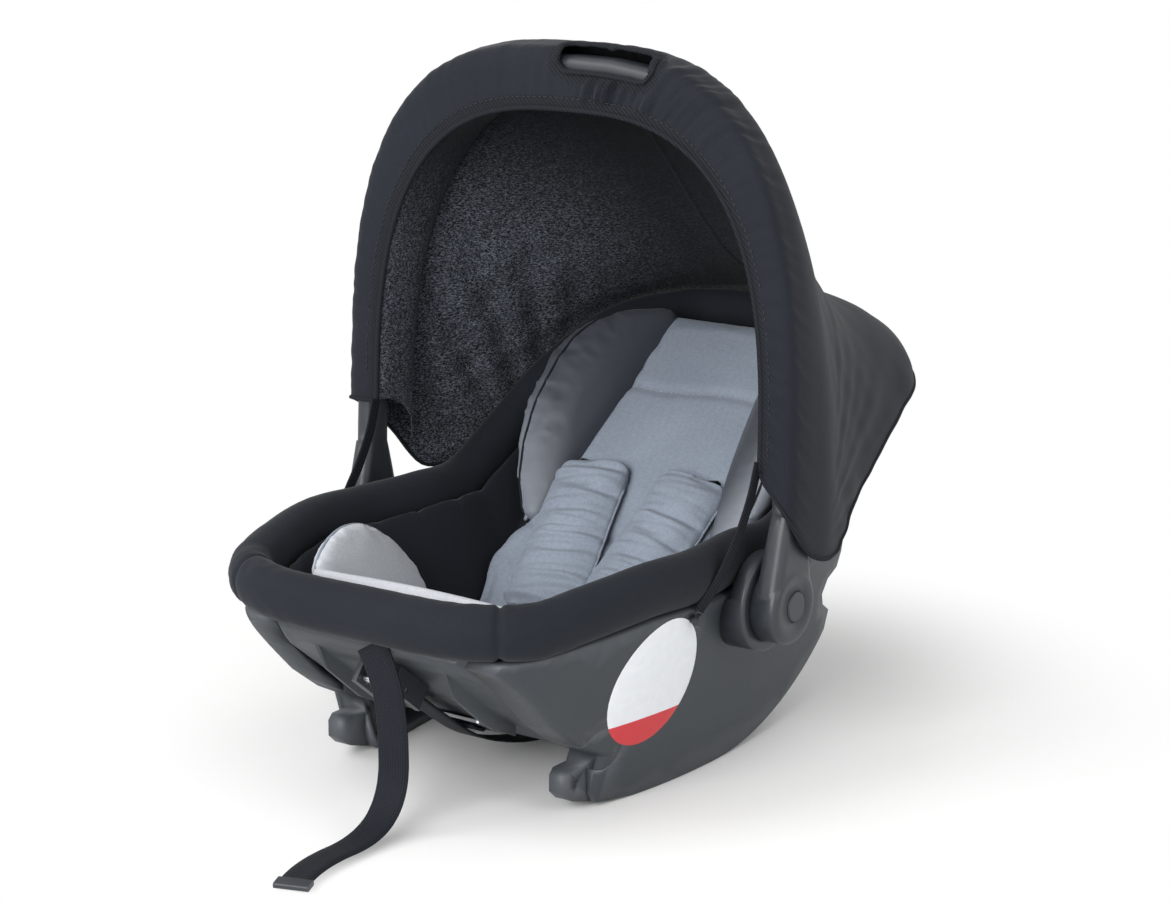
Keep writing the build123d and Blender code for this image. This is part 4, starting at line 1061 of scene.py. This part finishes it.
# the cut cloth's edge is drawn onto the slot's true outline
open_edges = [e for e in body.edges if len(e.link_faces) == 1]
rim_verts = {v for e in open_edges for v in e.verts if v in chart and abs(chart[v][1]) < 0.04}
NUDGE = 1e-5
for v in rim_verts:
    x, back, ahead = chart[v]
    new_x, new_back = x, back
    for turn in range(6):
        d = off_slot(new_x, new_back)
        dx, dy = off_slot(new_x + NUDGE, new_back) - d, off_slot(new_x, new_back + NUDGE) - d
        size = max(math.hypot(dx, dy), 1e-12)
        new_x, new_back = new_x - d * dx / size, new_back - d * dy / size
    v.co += Vector((new_x - x, 0, 0)) + ahead * (new_back - back)
slot_edges = [e for e in open_edges if e.verts[0] in rim_verts and e.verts[1] in rim_verts]
ring = list(slot_edges[0].verts)
left = set(slot_edges[1:])
while left:
    step = next((e for e in left if ring[-1] in e.verts), None)
    if step is None:
        break
    left.discard(step)
    ring.append(step.other_vert(ring[-1]))
slot_line = [v.co.copy() for v in ring]
mouth_line = [canopy.data.vertices[k].co.copy() for k in range(COLUMNS + 1)]
hem_lines = [[canopy.data.vertices[i * wide_row + k].co.copy() for i in range(ROWS)] for k in (0, COLUMNS)]
body.to_mesh(canopy.data)
body.free()
for face in canopy.data.polygons:
    face.use_smooth = True
canopy.data.update()
weight = canopy.modifiers.new("cloth_thickness", "SOLIDIFY")
weight.thickness = 0.0011
weight.offset = -1.0
weight.material_offset = 1
weight.material_offset_rim = 0

# binding tape: black polyester woven with fine cross ribs, which look dull and slightly striped
tape, tape_skin = finish_named("black_binding_tape")
tape_at = fit(tape, "ShaderNodeTexCoord")
# cross ribs are about 1 mm apart; drawn at 2 mm so that they show
tape_rib = fit(tape, "ShaderNodeTexWave", {"Scale": 157.0, "Distortion": 0.5}, {"Vector": tape_at.outputs["Object"]},
               bands_direction="DIAGONAL")
tape_tone = fit(tape, "ShaderNodeMix", {"A": srgb("#111317"), "B": srgb("#1f2228")},
                {"Factor": tape_rib.outputs["Fac"]}, data_type="RGBA")
tape.node_tree.links.new(tape_tone.outputs["Result"], tape_skin.inputs["Base Color"])
tape_bump = fit(tape, "ShaderNodeBump", {"Strength": 0.3, "Distance": 0.0004}, {"Height": tape_rib.outputs["Fac"]})
tape.node_tree.links.new(tape_bump.outputs["Normal"], tape_skin.inputs["Normal"])
tape_skin.inputs["Roughness"].default_value = 0.85
tape_skin.inputs["Specular IOR Level"].default_value = 0.2
canopy.data.materials.append(tape)
canopy.data.materials.append(inner)


def bound(name, line, radius, material, closed=False):
    # tape folded over a raw edge: a soft tube that follows the edge
    if not closed:
        return piping(name, line, radius, material)
    spots, sides, n = [], 8, len(line)
    for i, here in enumerate(line):
        ahead = (line[(i + 1) % n] - line[i - 1]).normalized()
        side = ahead.cross(Vector((0, 0, 1))).normalized()
        up = side.cross(ahead)
        for k in range(sides):
            turn = 2 * math.pi * k / sides
            spots.append(here + (side * math.cos(turn) * 1.6 + up * math.sin(turn)) * radius)
    return add_mesh(name, spots, quads(n, sides, rows_meet=True), material)


trims = [bound("canopy_mouth_binding", mouth_line, 0.0024, tape)]
# the inner ply of the handle sleeve: from the mouth back under the handle and up to the hood
sleeve_rows = [(-15.6, 1.0, 190.5, 259, 518.5, 2.8), (0.0, 1.0, 190.5, 257, 521.0, 2.8),
               (20.0, 1.0, 191.0, 248, 523.0, 2.8), (36.0, 0.8, 194.0, 234, 524.0, 2.75),
               (50.0, 0.5, 204.0, 218, 530.0, 2.6), (60.0, 0.42, 211.5, 208, 530.5, 2.5)]
PLY_STEPS = 120
spots = []
for y, tilt, half, low, top, power in sleeve_rows:
    spots += [leaned(x, y, rise, tilt) for x, rise in arch(half, low, low, top, power, PLY_STEPS)]
faces = [(a, d, c, b) for a, b, c, d in quads(len(sleeve_rows), PLY_STEPS + 1, columns_meet=False)]
inner_ply = add_mesh("canopy_handle_sleeve", spots, faces, inner)
ply = inner_ply.modifiers.new("cloth_thickness", "SOLIDIFY")
ply.thickness = 0.0008
trims.append(inner_ply)
trims.append(bound("canopy_slot_binding", slot_line[:-1], 0.0021, tape, closed=True))
for end, line in zip(("left", "right"), hem_lines):
    trims.append(bound("canopy_hem_" + end, line, 0.0017, tape))
# a row of stitches holds the tape, 9 mm out from the mouth's edge
TAPE_ROW = 0.009
mouth_middle = spot(0, -18, 330)
lip_line = []
tree = BVHTree.FromObject(canopy, bpy.context.evaluated_depsgraph_get())
for here in mouth_line[9:COLUMNS - 8:3]:
    outwards = (here - mouth_middle).normalized()
    hit = tree.find_nearest(here + Vector((0, -0.003, 0.0)) + outwards * TAPE_ROW)
    lip_line.append(hit[0] + hit[1] * 0.0003)
black_thread = twisted("black_polyester_thread", "#0b0c0f", "#15171b", 0.5)
trims.append(sewn("canopy_lip_stitches", lip_line, black_thread))
for trim in trims:
    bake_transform(trim)
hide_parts("canopy")
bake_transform(canopy)


# Elastic loops run from the canopy's front corners down to the knobs under the rim and hold the hood taut.
# They are flat black braid, sewn into the mouth's binding, and draw in towards the knobs as the handle swings back.
ELASTIC_WIDE, ELASTIC_THICK = 0.011, 0.0014
KNOB = (180.3, -80, 154)
for side, end in ((1, "left"), (-1, "right")):
    line = rounded([spot(side * x, y, z) for x, y, z in
                    ((190.5, -13, 259), (190.0, -22, 234), (189.6, -36, 210), (189.0, -52, 190), (187.5, -65, 175),
                     (184.0, -73, 164), KNOB)], 6)
    elastic = strip("canopy_elastic_band_" + end, line, (0, 1, -0.9), ELASTIC_WIDE, ELASTIC_THICK, tape)
    fixed_to_seat(elastic, "canopy_elastic_" + end)
    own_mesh(elastic)


# A plain oval sticker on the left skirt: white vinyl film with a red lower part, die-cut and pressed on.
# The film is smooth and half glossy, with faint unevenness in patches of about 8 mm.
vinyl, vinyl_skin = finish_named("white_and_red_vinyl")
vinyl_at = fit(vinyl, "ShaderNodeTexCoord")
split = fit(vinyl, "ShaderNodeSeparateXYZ", links={"Vector": vinyl_at.outputs["Object"]})
RED_BELOW = 0.071
lower = fit(vinyl, "ShaderNodeMath", {1: RED_BELOW}, {0: split.outputs["Z"]}, operation="LESS_THAN")
film = fit(vinyl, "ShaderNodeTexNoise", {"Scale": 120.0, "Detail": 3.0}, {"Vector": vinyl_at.outputs["Object"]})
white = fit(vinyl, "ShaderNodeMix", {"A": srgb("#d6d9de"), "B": srgb("#e4e7eb")},
            {"Factor": film.outputs["Fac"]}, data_type="RGBA")
two_toned = fit(vinyl, "ShaderNodeMix", {"B": srgb("#c4232c")},
                {"Factor": lower.outputs[0], "A": white.outputs["Result"]}, data_type="RGBA")
vinyl.node_tree.links.new(two_toned.outputs["Result"], vinyl_skin.inputs["Base Color"])
vinyl_skin.inputs["Roughness"].default_value = 0.32
skirt_trees = [BVHTree.FromObject(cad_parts[name], bpy.context.evaluated_depsgraph_get())
               for name in ("side_skirt_left", "belt_hook_left")]
RINGS, ROUND_OFF = 10, 48
OVAL_Y, OVAL_Z, OVAL_LONG, OVAL_TALL = -110, 101, 48, 53
spots = []
for j in range(RINGS + 1):
    for k in range(ROUND_OFF):
        a = 2 * math.pi * k / ROUND_OFF
        reach = j / RINGS
        y, z = OVAL_Y + OVAL_LONG * reach * math.cos(a), OVAL_Z + OVAL_TALL * reach * math.sin(a)
        met = [tree.ray_cast(spot(300, y, z), Vector((-1, 0, 0)), 0.3) for tree in skirt_trees]
        hit = max((m for m in met if m[0] is not None), key=lambda m: m[0].x)
        spots.append(hit[0] + hit[1] * (0.0004 if j < RINGS else 0.00005))
sticker = add_mesh("blank_oval_sticker", spots, quads(RINGS + 1, ROUND_OFF), vinyl)
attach(sticker, "seat")
